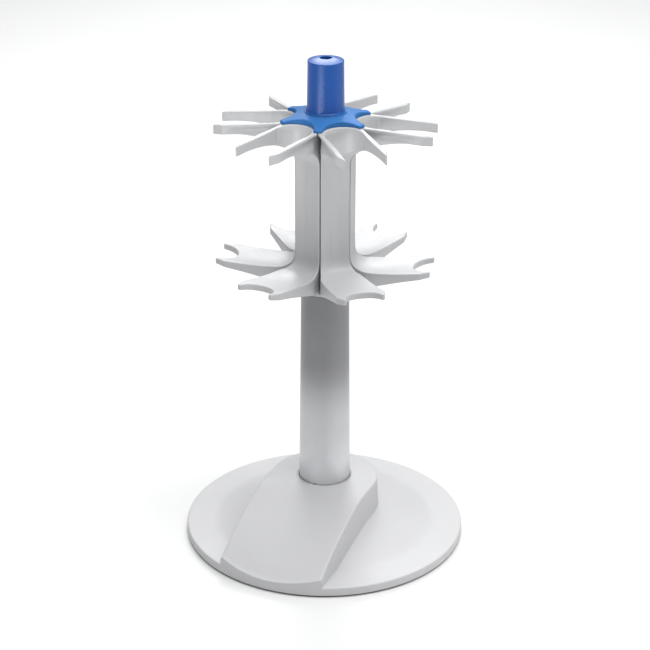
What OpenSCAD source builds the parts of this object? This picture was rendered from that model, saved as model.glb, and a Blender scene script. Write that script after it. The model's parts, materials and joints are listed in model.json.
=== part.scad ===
// Carousel stand for six hand pipettes.
//
// A weighted round base carries a column, and a fixed spindle on the column's head carries the
// carousel: a hub with six C-shaped holders, a star-shaped cover over their seams and a turning
// handle. Each holder hangs a pipette in its upper fork and steadies it in its lower fork.
//
// Units are millimetres. The origin is the middle of the base on the table, +Z is up, and the
// ramp of the base points along -Y. A holder is drawn along +X and then turned to its place.

/* [Base cover] */
// Radius of the round base
base_r = 93.3; // [90:0.1:98]
// Height of the top of the base's side wall
base_edge_z = 6.9; // [6.6:0.1:8]
// Height of the border where it meets the rise
border_z = 7.5; // [7:0.1:9]
// Inner radius of the flat border
border_r = 75; // [71:0.5:79]
// Height of the rise where it meets the ramp's wall
rise_z = 18.2; // [16:0.1:22]
// How hollow the rise is: 1 is a straight cone
rise_curve = 1.15; // [1:0.05:1.4]
// Wall thickness of the moulded cover
cover_wall = 2.4; // [2:0.1:2.8]
// Radius of the rounded top edge of the side wall
base_edge_round = 0.9; // [0.4:0.1:1.4]

/* [Ramp] */
// Half the width of the ramp
ramp_half_w = 35.8; // [33:0.1:40]
// Height of the ramp beside the column
ramp_top_z = 41; // [36:0.5:50]
// Height of the ramp at its front edge
ramp_front_z = 7.6; // [7:0.1:9]
// Drop of the platform from the column to its edge
platform_drop = 3; // [1:0.1:5]
// Reach and height of the ramp's upper handle point
ramp_bend_a = [46, 34]; // [30:1:60]
// Reach and height of the ramp's lower handle point
ramp_bend_b = [74, 23]; // [15:1:80]
// Visible seam between the column and the platform
column_seam = 0.35; // [0.25:0.05:1]
// Wall of the sleeve that guides the column in the cover
sleeve_wall = 2.4; // [1.8:0.1:3]

/* [Underside] */
// Height of the soft foot ring under the base
foot_h = 1.2; // [0.8:0.1:1.6]
// Width of the foot ring
foot_w = 7.5; // [5:0.1:10]
// How far the foot ring stands back from the side wall
foot_inset = 1.6; // [0.8:0.1:2]
// Thickness of the base plate
plate_t = 2; // [1.6:0.1:2.2]
// Clearance round the base plate
plate_gap = 0.2; // [0.1:0.05:0.4]
// Radius of the circle of base screws
screw_circle_r = 56; // [54.5:0.5:58]
// Number of base screws
screw_count = 6; // [3:1:8]
// Radius of a base screw's shank
screw_r = 1.45; // [1.2:0.05:1.6]
// Length of a base screw's shank
screw_len = 8; // [6:0.5:9]
// Radius of a base screw's head
screw_head_r = 2.8; // [2.5:0.1:3.2]
// Height of a base screw's head
screw_head_h = 1.6; // [1.2:0.1:1.8]
// Width of the arms of a base screw's cross recess
screw_cross_w = 0.8; // [0.5:0.1:1]
// Depth of a base screw's cross recess
screw_cross_depth = 0.7; // [0.4:0.1:1]
// Depth of the recess for a base screw's head
screw_recess = 0.9; // [0.7:0.1:1.1]
// Radius of a screw boss in the cover
boss_r = 3.6; // [3:0.1:4]

/* [Ballast] */
// Radius of the ballast's flange
ballast_r = 66; // [63:0.5:68]
// Radius of the ballast's thick middle
ballast_hub_r = 46; // [40:0.5:48]
// Clearance between the ballast and the cover above it
ballast_gap = 0.45; // [0.3:0.05:0.8]
// Clearance round the screw bosses that pass the ballast
boss_gap = 0.6; // [0.3:0.1:1]
// Height of the spigot that centres the column
spigot_h = 4; // [3:0.5:6]
// Radius of the socket room round the tie rod's nut
nut_room_r = 9.5; // [9:0.1:11]
// Metal left above the nut room
nut_room_roof = 2; // [1.5:0.1:3]

/* [Column] */
// Radius of the column where it leaves the platform
column_r = 17; // [16.5:0.1:18]
// Radius of the column at its top
column_top_r = 15.7; // [15.2:0.1:16.4]
// Radius of the column's bore
column_bore_r = 13.5; // [12.8:0.1:14]
// Height of the top of the column
column_top_z = 178.5; // [160:0.5:200]
// Thickness of the column head's flange
head_flange_t = 2; // [1.6:0.1:3]
// Length of the column head inside the column
head_len = 22; // [20:0.5:30]
// Radius of the tie rod
tie_r = 4; // [3:0.1:4.4]
// Clear air between the tie rod and the spindle
tie_end_gap = 3; // [2:0.5:5]
// Depth of the tie rod's hole past the rod's end
tie_hole_spare = 1; // [0.5:0.25:1.5]
// Length of the tie rod that stands out of its nut
tie_tail = 1; // [0.5:0.25:2]
// Clearance of parts that are fitted and stay put
fit_gap = 0.05; // [0.03:0.01:0.08]
// Thickness of the tie rod's nut
nut_t = 4; // [3:0.5:4.4]
// Width of the tie rod's nut across its flats
nut_af = 13; // [11:0.5:14]
// Thickness of the tie rod's washer
washer_t = 1.2; // [1:0.1:1.4]
// Outer radius of the tie rod's washer
washer_r = 8; // [7.8:0.1:8.6]

/* [Bearing] */
// Radius of the spindle
spindle_r = 6; // [5.5:0.1:6.4]
// Depth of the spindle in the column head
spindle_seat = 12; // [10:0.5:14]
// Running clearance between the spindle and the bushes
run_gap = 0.04; // [0.02:0.01:0.08]
// End play of the carousel at each thrust face
end_play = 0.05; // [0.03:0.01:0.1]
// Wall of a bush
bush_wall = 2; // [1.6:0.1:2.2]
// Length of a bush
bush_len = 15; // [10:1:20]
// Thickness of a bush's flange
bush_flange_t = 1; // [0.8:0.1:1.5]
// Radius of a bush's flange
bush_flange_r = 9.2; // [8.8:0.1:9.4]
// Thickness of the thrust washer under the hub
thrust_t = 1.2; // [0.8:0.1:2]
// Radius of the thrust washer
thrust_r = 12.5; // [11:0.1:13]
// Thickness of the retaining washer and of the ring above it
retainer_t = 1; // [0.8:0.1:1.2]
// Outer radius of the retaining ring
ring_r = 8.4; // [8:0.1:8.8]
// Depth of the ring's groove in the spindle
groove_depth = 0.5; // [0.3:0.05:0.7]
// Width of the opening in the retaining ring
ring_mouth = 3.2; // [2.4:0.1:4]
// Length of the spindle past the retaining ring
spindle_end = 3; // [2:0.5:5]

/* [Hub] */
// Distance from the hub's axis to each of its six flats
hub_flat = 14.2; // [14:0.1:14.6]
// Depth of the chamber above the upper bush
chamber_depth = 27; // [24:0.5:32]
// Radius of the chamber above the upper bush
chamber_r = 9.6; // [9.5:0.05:9.8]
// Half the width of a holder slot's neck
slot_neck = 2.6; // [2.2:0.1:3]
// Half the width of a holder slot's head
slot_head = 4.2; // [3.8:0.1:4.4]
// Depth of a holder slot's neck
slot_neck_depth = 1.6; // [1.4:0.1:1.8]
// Depth of a holder slot's head
slot_head_depth = 1.5; // [1.3:0.1:1.6]
// Clearance of the hub's bore between the bushes
hub_relief = 1; // [0.6:0.1:1.5]
// How far the holders' feet reach below the hub
foot_drop = 0.25; // [0:0.05:0.5]
// Solid hub left under each holder slot
slot_stop = 5.3; // [4:0.1:8]
// Clearance of a holder's rail in its slot
rail_gap = 0.15; // [0.1:0.01:0.25]
// Radius of the hub cap's spigot less the chamber's radius
cap_gap = 0.1; // [0.05:0.05:0.15]
// Thickness of the hub cap's flange
cap_t = 3.6; // [3:0.1:4.2]
// Length of the hub cap's spigot
cap_spigot = 12; // [8:0.5:14]
// Radius of the circle of cap screws
cap_screw_circle = 12; // [11.8:0.1:12.2]
// Radius of a cap screw's shank
cap_screw_r = 1; // [0.8:0.05:1.1]
// Length of a cap screw from the top of the cap
cap_screw_len = 10; // [8:0.5:14]
// Radius of a cap screw's head
cap_head_r = 1.7; // [1.5:0.05:1.8]
// Height of a cap screw's head
cap_head_h = 0.9; // [0.6:0.1:1.2]
// Clearance round and under a cap screw's head
cap_head_gap = 0.1; // [0.05:0.05:0.2]

/* [Holders] */
// Number of holders round the hub
holder_count = 6; // [6:1:6]
// Direction of the first holder from the stand's +X axis
holder_phase = 14.25; // [0:0.25:59]
// Seam between neighbouring holders
seam = 0.5; // [0.3:0.05:0.8]
// Distance from the axis to the spine's face
face_u = 18; // [17.6:0.1:19]
// Depth of the channel down the middle of the spine's face
channel_depth = 1.5; // [0.8:0.1:1.8]
// Distance from the ends of the spine's face to the ends of its channel
channel_end = 1; // [0.5:0.5:4]
// Height of a holder from its foot to its deck
holder_h = 111.1; // [100:0.1:130]
// Half the outer width of a fork where its arms leave the seams
fork_half_w = 14.6; // [13.8:0.1:15]
// How much an arm spreads outwards before its tip
fork_spread = 1.4; // [0:0.1:2]
// Wall of an upper fork arm
fork_wall = 2.9; // [2.4:0.1:3.2]
// Length of the slanting end face of an arm
fork_slant = 6.4; // [3:0.1:9]
// Half the width between the arms' tips
fork_mouth_w = 12.7; // [12:0.1:14]
// Width of an arm's blunt tip
fork_tip_w = 0.8; // [0.5:0.1:1.5]
// Distance from the axis to the tips of the upper fork
fork_reach = 69.3; // [62:0.1:75]
// Fall of the upper rim from the deck to the tips
rim_fall = 3.6; // [2:0.1:6]
// Height of an upper arm's tip
arm_tip_h = 5.5; // [4:0.1:7]
// Height of an upper arm at the spine
arm_root_h = 25.6; // [20:0.1:30]
// Height over which the arch under an arm leaves the spine
arm_arch_h = 8.5; // [6:0.1:11]
// Reach and drop of the outer handle point of the arch under an arm
arm_arch = [18, 1.4]; // [0:0.1:24]
// Height of the rim's lip, which reaches out to the seam over the set-back walls
rim_lip = 2.2; // [1.6:0.1:3]
// Distance from the axis at which the set-back walls reach a fork's full width
wall_join_u = 34; // [30:0.5:38]
// Depth of the cove along the outside of an upper arm, under its rim
cove_depth = 1.2; // [0.4:0.1:1.4]
// Radius of the cove
cove_r = 7; // [5:0.5:12]
// Distance from the rim down to the middle of the cove
cove_drop = 5.2; // [4.8:0.1:7]
// Distance from the axis to the middle of the scalloped seat
seat_u = 32.6; // [32:0.1:34]
// Radius of the round seat at its rim
seat_r = 12.2; // [11.8:0.1:12.6]
// Height of the seat's flared lip
seat_lip = 3.5; // [2:0.1:5]
// How far the lip flares
seat_flare = 0.6; // [0.3:0.1:1]
// Distance from the middle of the seat to where the arms start to spread
throat_reach = 16; // [14:0.5:20]
// Distance from the axis to where the deck starts to fall towards the tips
deck_flat_u = 24.2; // [22:0.1:28]
// Height of the shelf's crest above the holder's foot
shelf_crest = 14; // [12:0.1:18]
// Rise of the crest from the spine to the tips
shelf_rise = 3.6; // [1:0.1:4.5]
// Height above the holder's foot where the spine's face ends
shelf_root = 26.5; // [22:0.1:30]
// Height over which the spine's face turns into the shelf
shelf_turn_h = 12.5; // [8:0.5:16]
// Reach and drop below the crest of the outer handle point of that turn
shelf_turn = [3, 2.2]; // [1:0.1:6]
// Height of a lower tip
shelf_tip_h = 4; // [2:0.1:5]
// Reach and drop below the tip of the shelf's lower edge at its outer handle point
shelf_belly_a = [52, 3.2]; // [1:0.1:60]
// Reach and drop below the tip of the shelf's lower edge at its inner handle point
shelf_belly_b = [34.6, 8]; // [1:0.1:60]
// Skin of the shelf above its hollow underside
shelf_skin = 2.2; // [1.8:0.1:2.6]
// Wall round the shelf's hollow underside
shelf_wall = 2; // [1.6:0.1:2.6]
// Number of hollows under the shelf
shelf_cells = 3; // [2:1:4]
// Radius of the notch at the end of the lower fork
notch_r = 11.3; // [10:0.1:11.8]
// How far the middle of the notch lies inside the tips
notch_set = 0.5; // [0:0.1:1.5]

/* [Star cover] */
// Distance from the axis to the ends of the star's points
star_r = 29.6; // [29:0.1:31]
// Thickness of the star's edge
star_edge = 2.2; // [1.2:0.1:2.6]
// Height of the star's middle above its underside
star_h = 5.4; // [4.8:0.1:7]
// Skin of the star over its hollow underside
star_skin = 1.6; // [1.2:0.1:2]
// Radius of the collar on the star that the handle stands on
star_collar_r = 13.2; // [13.1:0.1:13.6]
// Height of the collar above the star's slope
star_step = 0.4; // [0.2:0.1:0.6]
// Width of the seats' rims that shows inside the star's scallops
star_gap = 1.3; // [1:0.05:1.6]
// Width across flats of the key that stops the star turning
key_af = 14; // [12:0.5:15]
// Depth of the key
key_depth = 1.2; // [0.8:0.1:1.6]

/* [Handle] */
// Radius of the handle above its flared foot
handle_r = 11.8; // [11:0.1:12.2]
// Radius of the handle at its top
handle_top_r = 11.4; // [10:0.1:12]
// Radius of the handle's foot
handle_foot_r = 12.5; // [12.3:0.1:13]
// Height of the handle's straight side
handle_h = 32.2; // [28:0.1:40]
// Rise of the handle's domed top
handle_dome = 1.86; // [1:0.01:3]
// Height of the straight edge of the handle's foot
foot_edge_h = 0.4; // [0.2:0.1:1]
// Height over which the foot flares out
foot_flare_h = 3; // [2:0.1:5]
// Radius of the rounded top edge
handle_round = 0.5; // [0.3:0.1:2.4]
// Wall of the hollow handle
handle_wall = 2.4; // [1.8:0.1:3]
// Radius of the boss round the handle's screw
handle_boss_r = 6; // [5.4:0.1:6.4]
// Height of the screw's seat inside the handle
handle_seat = 8; // [6:0.5:12]
// Radius of the hole in the handle's top
handle_hole_r = 3.65; // [3.6:0.05:4]
// Radius of the handle screw's shank
bolt_r = 2; // [1.6:0.05:2]
// Length of the handle screw's shank
bolt_len = 30; // [26:1:30]
// Radius of the handle screw's head
bolt_head_r = 3.5; // [3.2:0.1:3.5]
// Height of the handle screw's head
bolt_head_h = 4; // [3:0.1:5]
// Width across flats of the socket in the handle screw's head
bolt_socket_af = 3; // [2.5:0.1:4]
// Depth of that socket
bolt_socket_depth = 2; // [1.5:0.1:2.5]
// Clearance round the handle screw
bolt_gap = 0.25; // [0.1:0.05:0.4]
// Radius of the brass insert in the hub cap
insert_r = 3.5; // [3.2:0.1:4]
// Radius of the insert's flange
insert_flange_r = 5; // [4.6:0.1:6]
// Thickness of the insert's flange
insert_flange_t = 1; // [0.8:0.1:1.5]
// Room between the insert's top and the cap's flange
insert_room = 1; // [0.5:0.1:2]

/* [Hidden] */
$fn = 96;
eps = 0.5;

// Names of all the separate pieces.

// Heights, from the table up.
plate_z = foot_h;
plate_top = plate_z + plate_t;
cover_z = foot_h;
ballast_flange_top = rise_at(ballast_r) - cover_wall - ballast_gap;
ballast_top = rise_at(ballast_hub_r) - cover_wall - ballast_gap;
nut_room_top = ballast_top - nut_room_roof;
head_bottom = column_top_z - head_flange_t - head_len;
spindle_z = column_top_z - spindle_seat;
thrust_z = column_top_z;
lower_flange_z = thrust_z + thrust_t + end_play;
hub_z = lower_flange_z + bush_flange_t;
holder_z = hub_z - foot_drop;
deck_z = holder_z + holder_h;
hub_top = deck_z - cap_t;
chamber_z = hub_top - chamber_depth;
upper_flange_top = chamber_z + bush_flange_t;
retainer_z = upper_flange_top + end_play;
ring_z = retainer_z + retainer_t + end_play;
spindle_top = ring_z + retainer_t + spindle_end;
slot_z = hub_z + slot_stop;
star_top = deck_z + star_h;
handle_z = star_top;
handle_top = handle_z + handle_h;

// Radii and other sizes that follow from the ones above.
bush_r = spindle_r + run_gap + bush_wall;
hub_bore_r = bush_r + fit_gap;
hub_relief_r = spindle_r + hub_relief;
platform_hole_r = column_r + column_seam;
holder_back = hub_flat + rail_gap;
holder_step = 360 / holder_count;
seam_angle = holder_step / 2;
throat_half_w = fork_half_w - fork_wall;
throat_u = seat_u + throat_reach;
bolt_seat_z = handle_z + handle_seat;
nut_z = nut_room_top - washer_t - nut_t;
tie_z = nut_z - tie_tail;
crest_z = holder_z + shelf_crest;
insert_z = hub_top - cap_spigot - insert_flange_t;

// ---------------------------------------------------------------- curves and helpers

// Point of a cubic curve through p[0] and p[3] with handles p[1] and p[2].
function cubic(p, t) =
    pow(1 - t, 3) * p[0] + 3 * pow(1 - t, 2) * t * p[1] + 3 * (1 - t) * t * t * p[2]
    + pow(t, 3) * p[3];

// The same curve as a list of points.
function cubic_points(p, steps) = [for (i = [0:steps]) cubic(p, i / steps)];

// Arc from angle a to angle b round a centre.
function arc_points(centre, r, a, b, steps) =
    [for (i = [0:steps]) centre + r * [cos(a + (b - a) * i / steps), sin(a + (b - a) * i / steps)]];

// The list in the opposite order.
function reversed(list) = [for (i = [len(list) - 1:-1:0]) list[i]];

// Height of the cover's rise at radius r.
function rise_at(r) =
    border_z + (rise_z - border_z) * pow(max(0, (border_r - r) / (border_r - ramp_half_w)), rise_curve);

// A ring or a disc between two radii.
module ring(outer, inner, z, h) {
    translate([0, 0, z]) difference() {
        cylinder(r = outer, h = h);
        translate([0, 0, -eps]) cylinder(r = inner, h = h + 2 * eps);
    }
}

// Children repeated at even steps round the axis.
module around(count, radius, phase = 0) {
    for (k = [0:count - 1]) rotate(phase + 360 * k / count) translate([radius, 0, 0]) children();
}

// ---------------------------------------------------------------- base

// The round part of the cover, drawn in by an inset on every side.
module rise_body(inset) {
    steps = 8;
    rise_r = ramp_half_w;
    edge = max(base_edge_round - inset, 0.1);
    rotate_extrude() polygon(concat(
        [[0, cover_z - (inset > 0 ? eps : 0)], [base_r - inset, cover_z - (inset > 0 ? eps : 0)]],
        arc_points([base_r - inset - edge, base_edge_z - inset - edge], edge, 0, 85, 4),
        [for (i = [0:steps]) let (r = border_r - (border_r - rise_r) * i / steps) [r, rise_at(r) - inset]],
        [[0, rise_z - inset]]));
}

// Side view of the ramp, from the column down to the front edge.
function ramp_profile(inset) = concat(
    [[-base_r, cover_z - (inset > 0 ? eps : 0)], [-base_r, ramp_top_z - inset]],
    [for (p = cubic_points([[column_r, ramp_top_z], ramp_bend_a, ramp_bend_b, [base_r, ramp_front_z]], 14))
        [p[0], p[1] - inset]],
    [[base_r, cover_z - (inset > 0 ? eps : 0)]]);

// The U-shaped ramp, drawn in by an inset on every side.
module ramp_body(inset) {
    half_w = ramp_half_w - inset;
    edge_z = ramp_top_z - platform_drop;
    intersection() {
        rotate([90, 0, -90]) translate([0, 0, -half_w]) linear_extrude(2 * half_w)
            polygon(ramp_profile(inset));
        union() {
            translate([0, 0, cover_z - eps]) cylinder(r = half_w, h = ramp_top_z);
            translate([-half_w, -base_r, cover_z - eps]) cube([2 * half_w, base_r, ramp_top_z]);
        }
        rotate_extrude() polygon([
            [0, cover_z - eps], [base_r - inset, cover_z - eps],
            [base_r - inset, edge_z - inset - platform_drop],
            [column_r, ramp_top_z - inset], [0, ramp_top_z - inset]]);
    }
}

// The whole cover as one lump, drawn in by an inset on every side.
module cover_lump(inset) {
    rise_body(inset);
    ramp_body(inset);
}

module base_cover() color("whitesmoke") difference() {
    union() {
        difference() {
            cover_lump(0);
            cover_lump(cover_wall);
        }
        intersection() {
            cover_lump(0);
            union() {
                translate([0, 0, ballast_top + ballast_gap])
                    cylinder(r = platform_hole_r + sleeve_wall, h = ramp_top_z);
                around(screw_count, screw_circle_r)
                    translate([0, 0, plate_top]) cylinder(r = boss_r, h = ramp_top_z, $fn = 48);
            }
        }
    }
    translate([0, 0, cover_z]) cylinder(r = platform_hole_r, h = ramp_top_z + eps);
    around(screw_count, screw_circle_r) translate([0, 0, plate_top - eps])
        cylinder(r = screw_r + fit_gap, h = screw_len - plate_t + screw_recess + 2 * eps, $fn = 48);
}

module base_plate() color("dimgray") difference() {
    translate([0, 0, plate_z]) cylinder(r = base_r - cover_wall - plate_gap, h = plate_t);
    around(screw_count, screw_circle_r) {
        translate([0, 0, plate_z - eps])
            cylinder(r = screw_head_r + plate_gap, h = screw_recess + eps, $fn = 48);
        translate([0, 0, plate_z]) cylinder(r = screw_r + plate_gap, h = plate_t + eps, $fn = 48);
    }
}

module foot_ring() color("black")
    ring(base_r - foot_inset, base_r - foot_inset - foot_w, 0, foot_h);

module base_screws() color("silver") around(screw_count, screw_circle_r) {
    head_z = plate_z + screw_recess - screw_head_h;
    difference() {
        translate([0, 0, head_z]) cylinder(r = screw_head_r, h = screw_head_h, $fn = 48);
        for (turn = [0, 90]) rotate(turn) translate([0, 0, head_z])
            cube([screw_head_r, screw_cross_w, 2 * screw_cross_depth], center = true);
    }
    translate([0, 0, head_z + screw_head_h]) cylinder(r = screw_r, h = screw_len, $fn = 48);
}

module ballast() color("slategray") difference() {
    union() {
        translate([0, 0, plate_top]) cylinder(r = ballast_r, h = ballast_flange_top - plate_top);
        translate([0, 0, plate_top]) cylinder(r = ballast_hub_r, h = ballast_top - plate_top);
        translate([0, 0, ballast_top - eps]) cylinder(r = column_bore_r - fit_gap, h = spigot_h + eps);
    }
    around(screw_count, screw_circle_r) translate([0, 0, plate_top - eps])
        cylinder(r = boss_r + boss_gap, h = ballast_top, $fn = 48);
    translate([0, 0, plate_top - eps]) cylinder(r = nut_room_r, h = nut_room_top - plate_top + eps);
    translate([0, 0, plate_top]) cylinder(r = tie_r + bolt_gap, h = ramp_top_z);
}

// ---------------------------------------------------------------- column

module tie_rod() color("silver")
    translate([0, 0, tie_z]) cylinder(r = tie_r, h = spindle_z - tie_end_gap - tie_z, $fn = 64);

module tie_washer() color("silver")
    ring(washer_r, tie_r + bolt_gap, nut_room_top - washer_t, washer_t);

module tie_nut() color("silver") difference() {
    translate([0, 0, nut_z]) cylinder(d = nut_af / cos(30), h = nut_t, $fn = 6);
    translate([0, 0, nut_z - eps]) cylinder(r = tie_r + fit_gap, h = nut_t + 2 * eps, $fn = 64);
}

module column_tube() color("silver") rotate_extrude() polygon([
    [column_bore_r, ballast_top], [column_r, ballast_top], [column_r, ramp_top_z],
    [column_top_r, column_top_z - head_flange_t], [column_bore_r, column_top_z - head_flange_t]]);

module column_head() color("gray") difference() {
    union() {
        translate([0, 0, head_bottom]) cylinder(r = column_bore_r - fit_gap, h = head_len + eps);
        translate([0, 0, column_top_z - head_flange_t]) cylinder(r = column_top_r, h = head_flange_t);
    }
    translate([0, 0, head_bottom - eps])
        cylinder(r = tie_r + fit_gap, h = spindle_z - head_bottom - tie_end_gap + tie_hole_spare + eps,
                 $fn = 64);
    translate([0, 0, spindle_z]) cylinder(r = spindle_r + fit_gap, h = spindle_seat + eps);
}

// ---------------------------------------------------------------- bearing

module spindle() color("silver") difference() {
    translate([0, 0, spindle_z]) cylinder(r = spindle_r, h = spindle_top - spindle_z);
    ring(spindle_r + eps, spindle_r - groove_depth, ring_z - end_play / 2, retainer_t + end_play);
}

module thrust_washer() color("ivory") ring(thrust_r, spindle_r + bolt_gap, thrust_z, thrust_t);

module retaining_washer() color("silver")
    ring(bush_flange_r - bolt_gap, spindle_r + fit_gap, retainer_z, retainer_t);

module retaining_ring() color("dimgray") difference() {
    ring(ring_r, spindle_r - groove_depth + fit_gap, ring_z, retainer_t);
    translate([0, -ring_mouth / 2, ring_z - eps]) cube([ring_r + eps, ring_mouth, retainer_t + 2 * eps]);
}

// One flanged plain bush with its flange at height z, and its sleeve above or below.
module bush(flange_z, sleeve_z) difference() {
    union() {
        translate([0, 0, flange_z]) cylinder(r = bush_flange_r, h = bush_flange_t);
        translate([0, 0, sleeve_z]) cylinder(r = bush_r, h = bush_len);
    }
    translate([0, 0, min(flange_z, sleeve_z) - eps])
        cylinder(r = spindle_r + run_gap, h = bush_len + bush_flange_t + 2 * eps);
}

module lower_bush() color("khaki") bush(lower_flange_z, hub_z);

module upper_bush() color("khaki") bush(chamber_z, chamber_z - bush_len);

// ---------------------------------------------------------------- hub

module hub() color("lightgray") difference() {
    translate([0, 0, hub_z]) rotate(holder_phase + seam_angle)
        cylinder(r = hub_flat / cos(seam_angle), h = hub_top - hub_z, $fn = holder_count);
    translate([0, 0, hub_z - eps]) cylinder(r = hub_relief_r, h = hub_top - hub_z);
    translate([0, 0, hub_z - eps]) cylinder(r = hub_bore_r, h = bush_len + eps);
    translate([0, 0, chamber_z - bush_len]) cylinder(r = hub_bore_r, h = bush_len + eps);
    translate([0, 0, chamber_z]) cylinder(r = chamber_r, h = chamber_depth + eps);
    around(holder_count, 0, holder_phase) {
        translate([hub_flat - slot_neck_depth - eps, -slot_neck, slot_z])
            cube([slot_neck_depth + 2 * eps, 2 * slot_neck, hub_top]);
        translate([hub_flat - slot_neck_depth - slot_head_depth, -slot_head, slot_z])
            cube([slot_head_depth, 2 * slot_head, hub_top]);
    }
    around(holder_count / 2, cap_screw_circle, holder_phase + seam_angle)
        translate([0, 0, deck_z - cap_screw_len - eps])
            cylinder(r = cap_screw_r + fit_gap, h = cap_screw_len, $fn = 32);
}

module hub_cap() color("lightgray") difference() {
    union() {
        translate([0, 0, hub_top]) cylinder(r = hub_flat - rail_gap, h = cap_t);
        translate([0, 0, hub_top - cap_spigot]) cylinder(r = chamber_r - cap_gap, h = cap_spigot + eps);
    }
    translate([0, 0, deck_z - key_depth]) rotate(holder_phase)
        cylinder(d = key_af / cos(30), h = key_depth + eps, $fn = 6);
    translate([0, 0, hub_top - cap_spigot - eps])
        cylinder(r = insert_r + fit_gap, h = cap_spigot + eps, $fn = 64);
    translate([0, 0, hub_top - eps]) cylinder(r = bolt_r + bolt_gap, h = cap_t + 2 * eps, $fn = 48);
    around(holder_count / 2, cap_screw_circle, holder_phase + seam_angle)
        translate([0, 0, hub_top - eps]) {
            cylinder(r = cap_screw_r + fit_gap, h = cap_t + 2 * eps, $fn = 32);
            translate([0, 0, cap_t - cap_head_h - cap_head_gap + eps])
                cylinder(r = cap_head_r + cap_head_gap, h = cap_head_h + eps, $fn = 32);
        }
}

module cap_screws() color("silver")
    around(holder_count / 2, cap_screw_circle, holder_phase + seam_angle) {
        head_z = deck_z - cap_head_h - cap_head_gap;
        translate([0, 0, head_z]) cylinder(r = cap_head_r, h = cap_head_h, $fn = 32);
        translate([0, 0, deck_z - cap_screw_len])
            cylinder(r = cap_screw_r, h = head_z - deck_z + cap_screw_len + cap_head_h / 2, $fn = 32);
    }

module cap_insert() color("goldenrod") difference() {
    union() {
        translate([0, 0, insert_z])
            cylinder(r = insert_r, h = cap_spigot + insert_flange_t - insert_room, $fn = 64);
        translate([0, 0, insert_z]) cylinder(r = insert_flange_r, h = insert_flange_t, $fn = 64);
    }
    translate([0, 0, insert_z - eps])
        cylinder(r = bolt_r + fit_gap, h = cap_spigot + insert_flange_t + 2 * eps, $fn = 64);
}

// ---------------------------------------------------------------- holders

// Half the width of a holder between its two seams, at distance u from the axis.
function seam_v(u) = u * tan(seam_angle) - seam / 2 / cos(seam_angle);

// Plan of a holder: a wedge between its two seams, then sides that spread a little towards the
// tips and close in again along the slanting end faces.
function holder_plan(inset) =
    let (half = fork_half_w - inset,
         cut = (seam / 2 + inset) / cos(seam_angle),
         back_v = holder_back * tan(seam_angle) - cut,
         bend_u = (half + cut) / tan(seam_angle),
         side = [[holder_back, back_v], [bend_u, half], [fork_reach - fork_slant, half + fork_spread],
                 [fork_reach, fork_mouth_w + fork_tip_w]])
    concat([for (p = side) [p[0], -p[1]]], reversed(side));

// Curve under an upper arm, from the spine's face out to the tip.
arm_under = cubic_points([
    [face_u, deck_z - arm_root_h], [face_u, deck_z - arm_root_h + arm_arch_h],
    [face_u + arm_arch[0], deck_z - arm_tip_h + arm_arch[1]],
    [fork_reach, deck_z - rim_fall - arm_tip_h]], 14);

// Curve along the shelf's crest, from the spine's face out to the tip.
shelf_over = cubic_points([
    [face_u, holder_z + shelf_root], [face_u, holder_z + shelf_root - shelf_turn_h],
    [face_u + shelf_turn[0], crest_z - shelf_turn[1]], [fork_reach, crest_z + shelf_rise]], 14);

// Curve along the shelf's lower edge, from the tip back to the foot.
shelf_tip_z = crest_z + shelf_rise - shelf_tip_h;
shelf_under = cubic_points([
    [fork_reach, shelf_tip_z], [shelf_belly_a[0], shelf_tip_z - shelf_belly_a[1]],
    [shelf_belly_b[0], shelf_tip_z - shelf_belly_b[1]], [face_u, holder_z]], 8);

// Side view of a holder: a C with its back on the hub.
holder_profile = concat(
    [[holder_back, deck_z], [deck_flat_u, deck_z], [fork_reach, deck_z - rim_fall]],
    reversed(arm_under), shelf_over, shelf_under, [[holder_back, holder_z]]);

// The open seat of an upper fork: a round back, a flared lip and the way out between the arms.
module seat_opening() {
    back_r = seat_r - seat_flare;
    low_z = deck_z - arm_root_h - eps;
    high = arm_root_h + 2 * eps;
    translate([seat_u, 0, low_z]) cylinder(r = back_r, h = high);
    translate([seat_u, 0, deck_z - seat_lip])
        cylinder(r1 = back_r - fit_gap, r2 = seat_r, h = seat_lip + fit_gap);
    translate([0, 0, low_z]) linear_extrude(high) polygon([
        [seat_u, fit_gap - back_r], [throat_u, -throat_half_w], [fork_reach + eps, -fork_mouth_w],
        [fork_reach + eps, fork_mouth_w], [throat_u, throat_half_w], [seat_u, back_r - fit_gap]]);
}

// One of the closed cells that hollow out the shelf from below.
module shelf_hollow() {
    first_u = wall_join_u - (wall_join_u - face_u) / 2;
    last_u = fork_reach - notch_set - notch_r - shelf_wall;
    cell = (last_u - first_u + shelf_wall) / shelf_cells;
    roof = [for (p = shelf_over) if (p[0] > face_u + shelf_skin) [p[0], p[1] - shelf_skin]];
    intersection() {
        translate([0, 0, holder_z - eps]) linear_extrude(shelf_root) polygon(wall_plan(shelf_wall));
        rotate([90, 0, 0]) translate([0, 0, -fork_half_w]) linear_extrude(2 * fork_half_w)
            polygon(concat([[fork_reach, holder_z - eps], [roof[0][0], holder_z - eps]], roof));
        union() for (i = [0:shelf_cells - 1])
            translate([first_u + i * cell, -fork_half_w, holder_z - eps])
                cube([cell - shelf_wall, 2 * fork_half_w, shelf_root]);
    }
}

// The rail on a holder's back that slides down into the hub's slot.
module holder_rail() {
    rail_z = slot_z + rail_gap;
    rail_h = hub_top - rail_z - rail_gap;
    neck = slot_neck - rail_gap;
    head = slot_head - rail_gap;
    head_back = hub_flat - slot_neck_depth - slot_head_depth + rail_gap;
    translate([head_back, -neck, rail_z]) cube([holder_back - head_back + eps, 2 * neck, rail_h]);
    translate([head_back, -head, rail_z]) cube([slot_head_depth - 2 * rail_gap, 2 * head, rail_h]);
}

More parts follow.
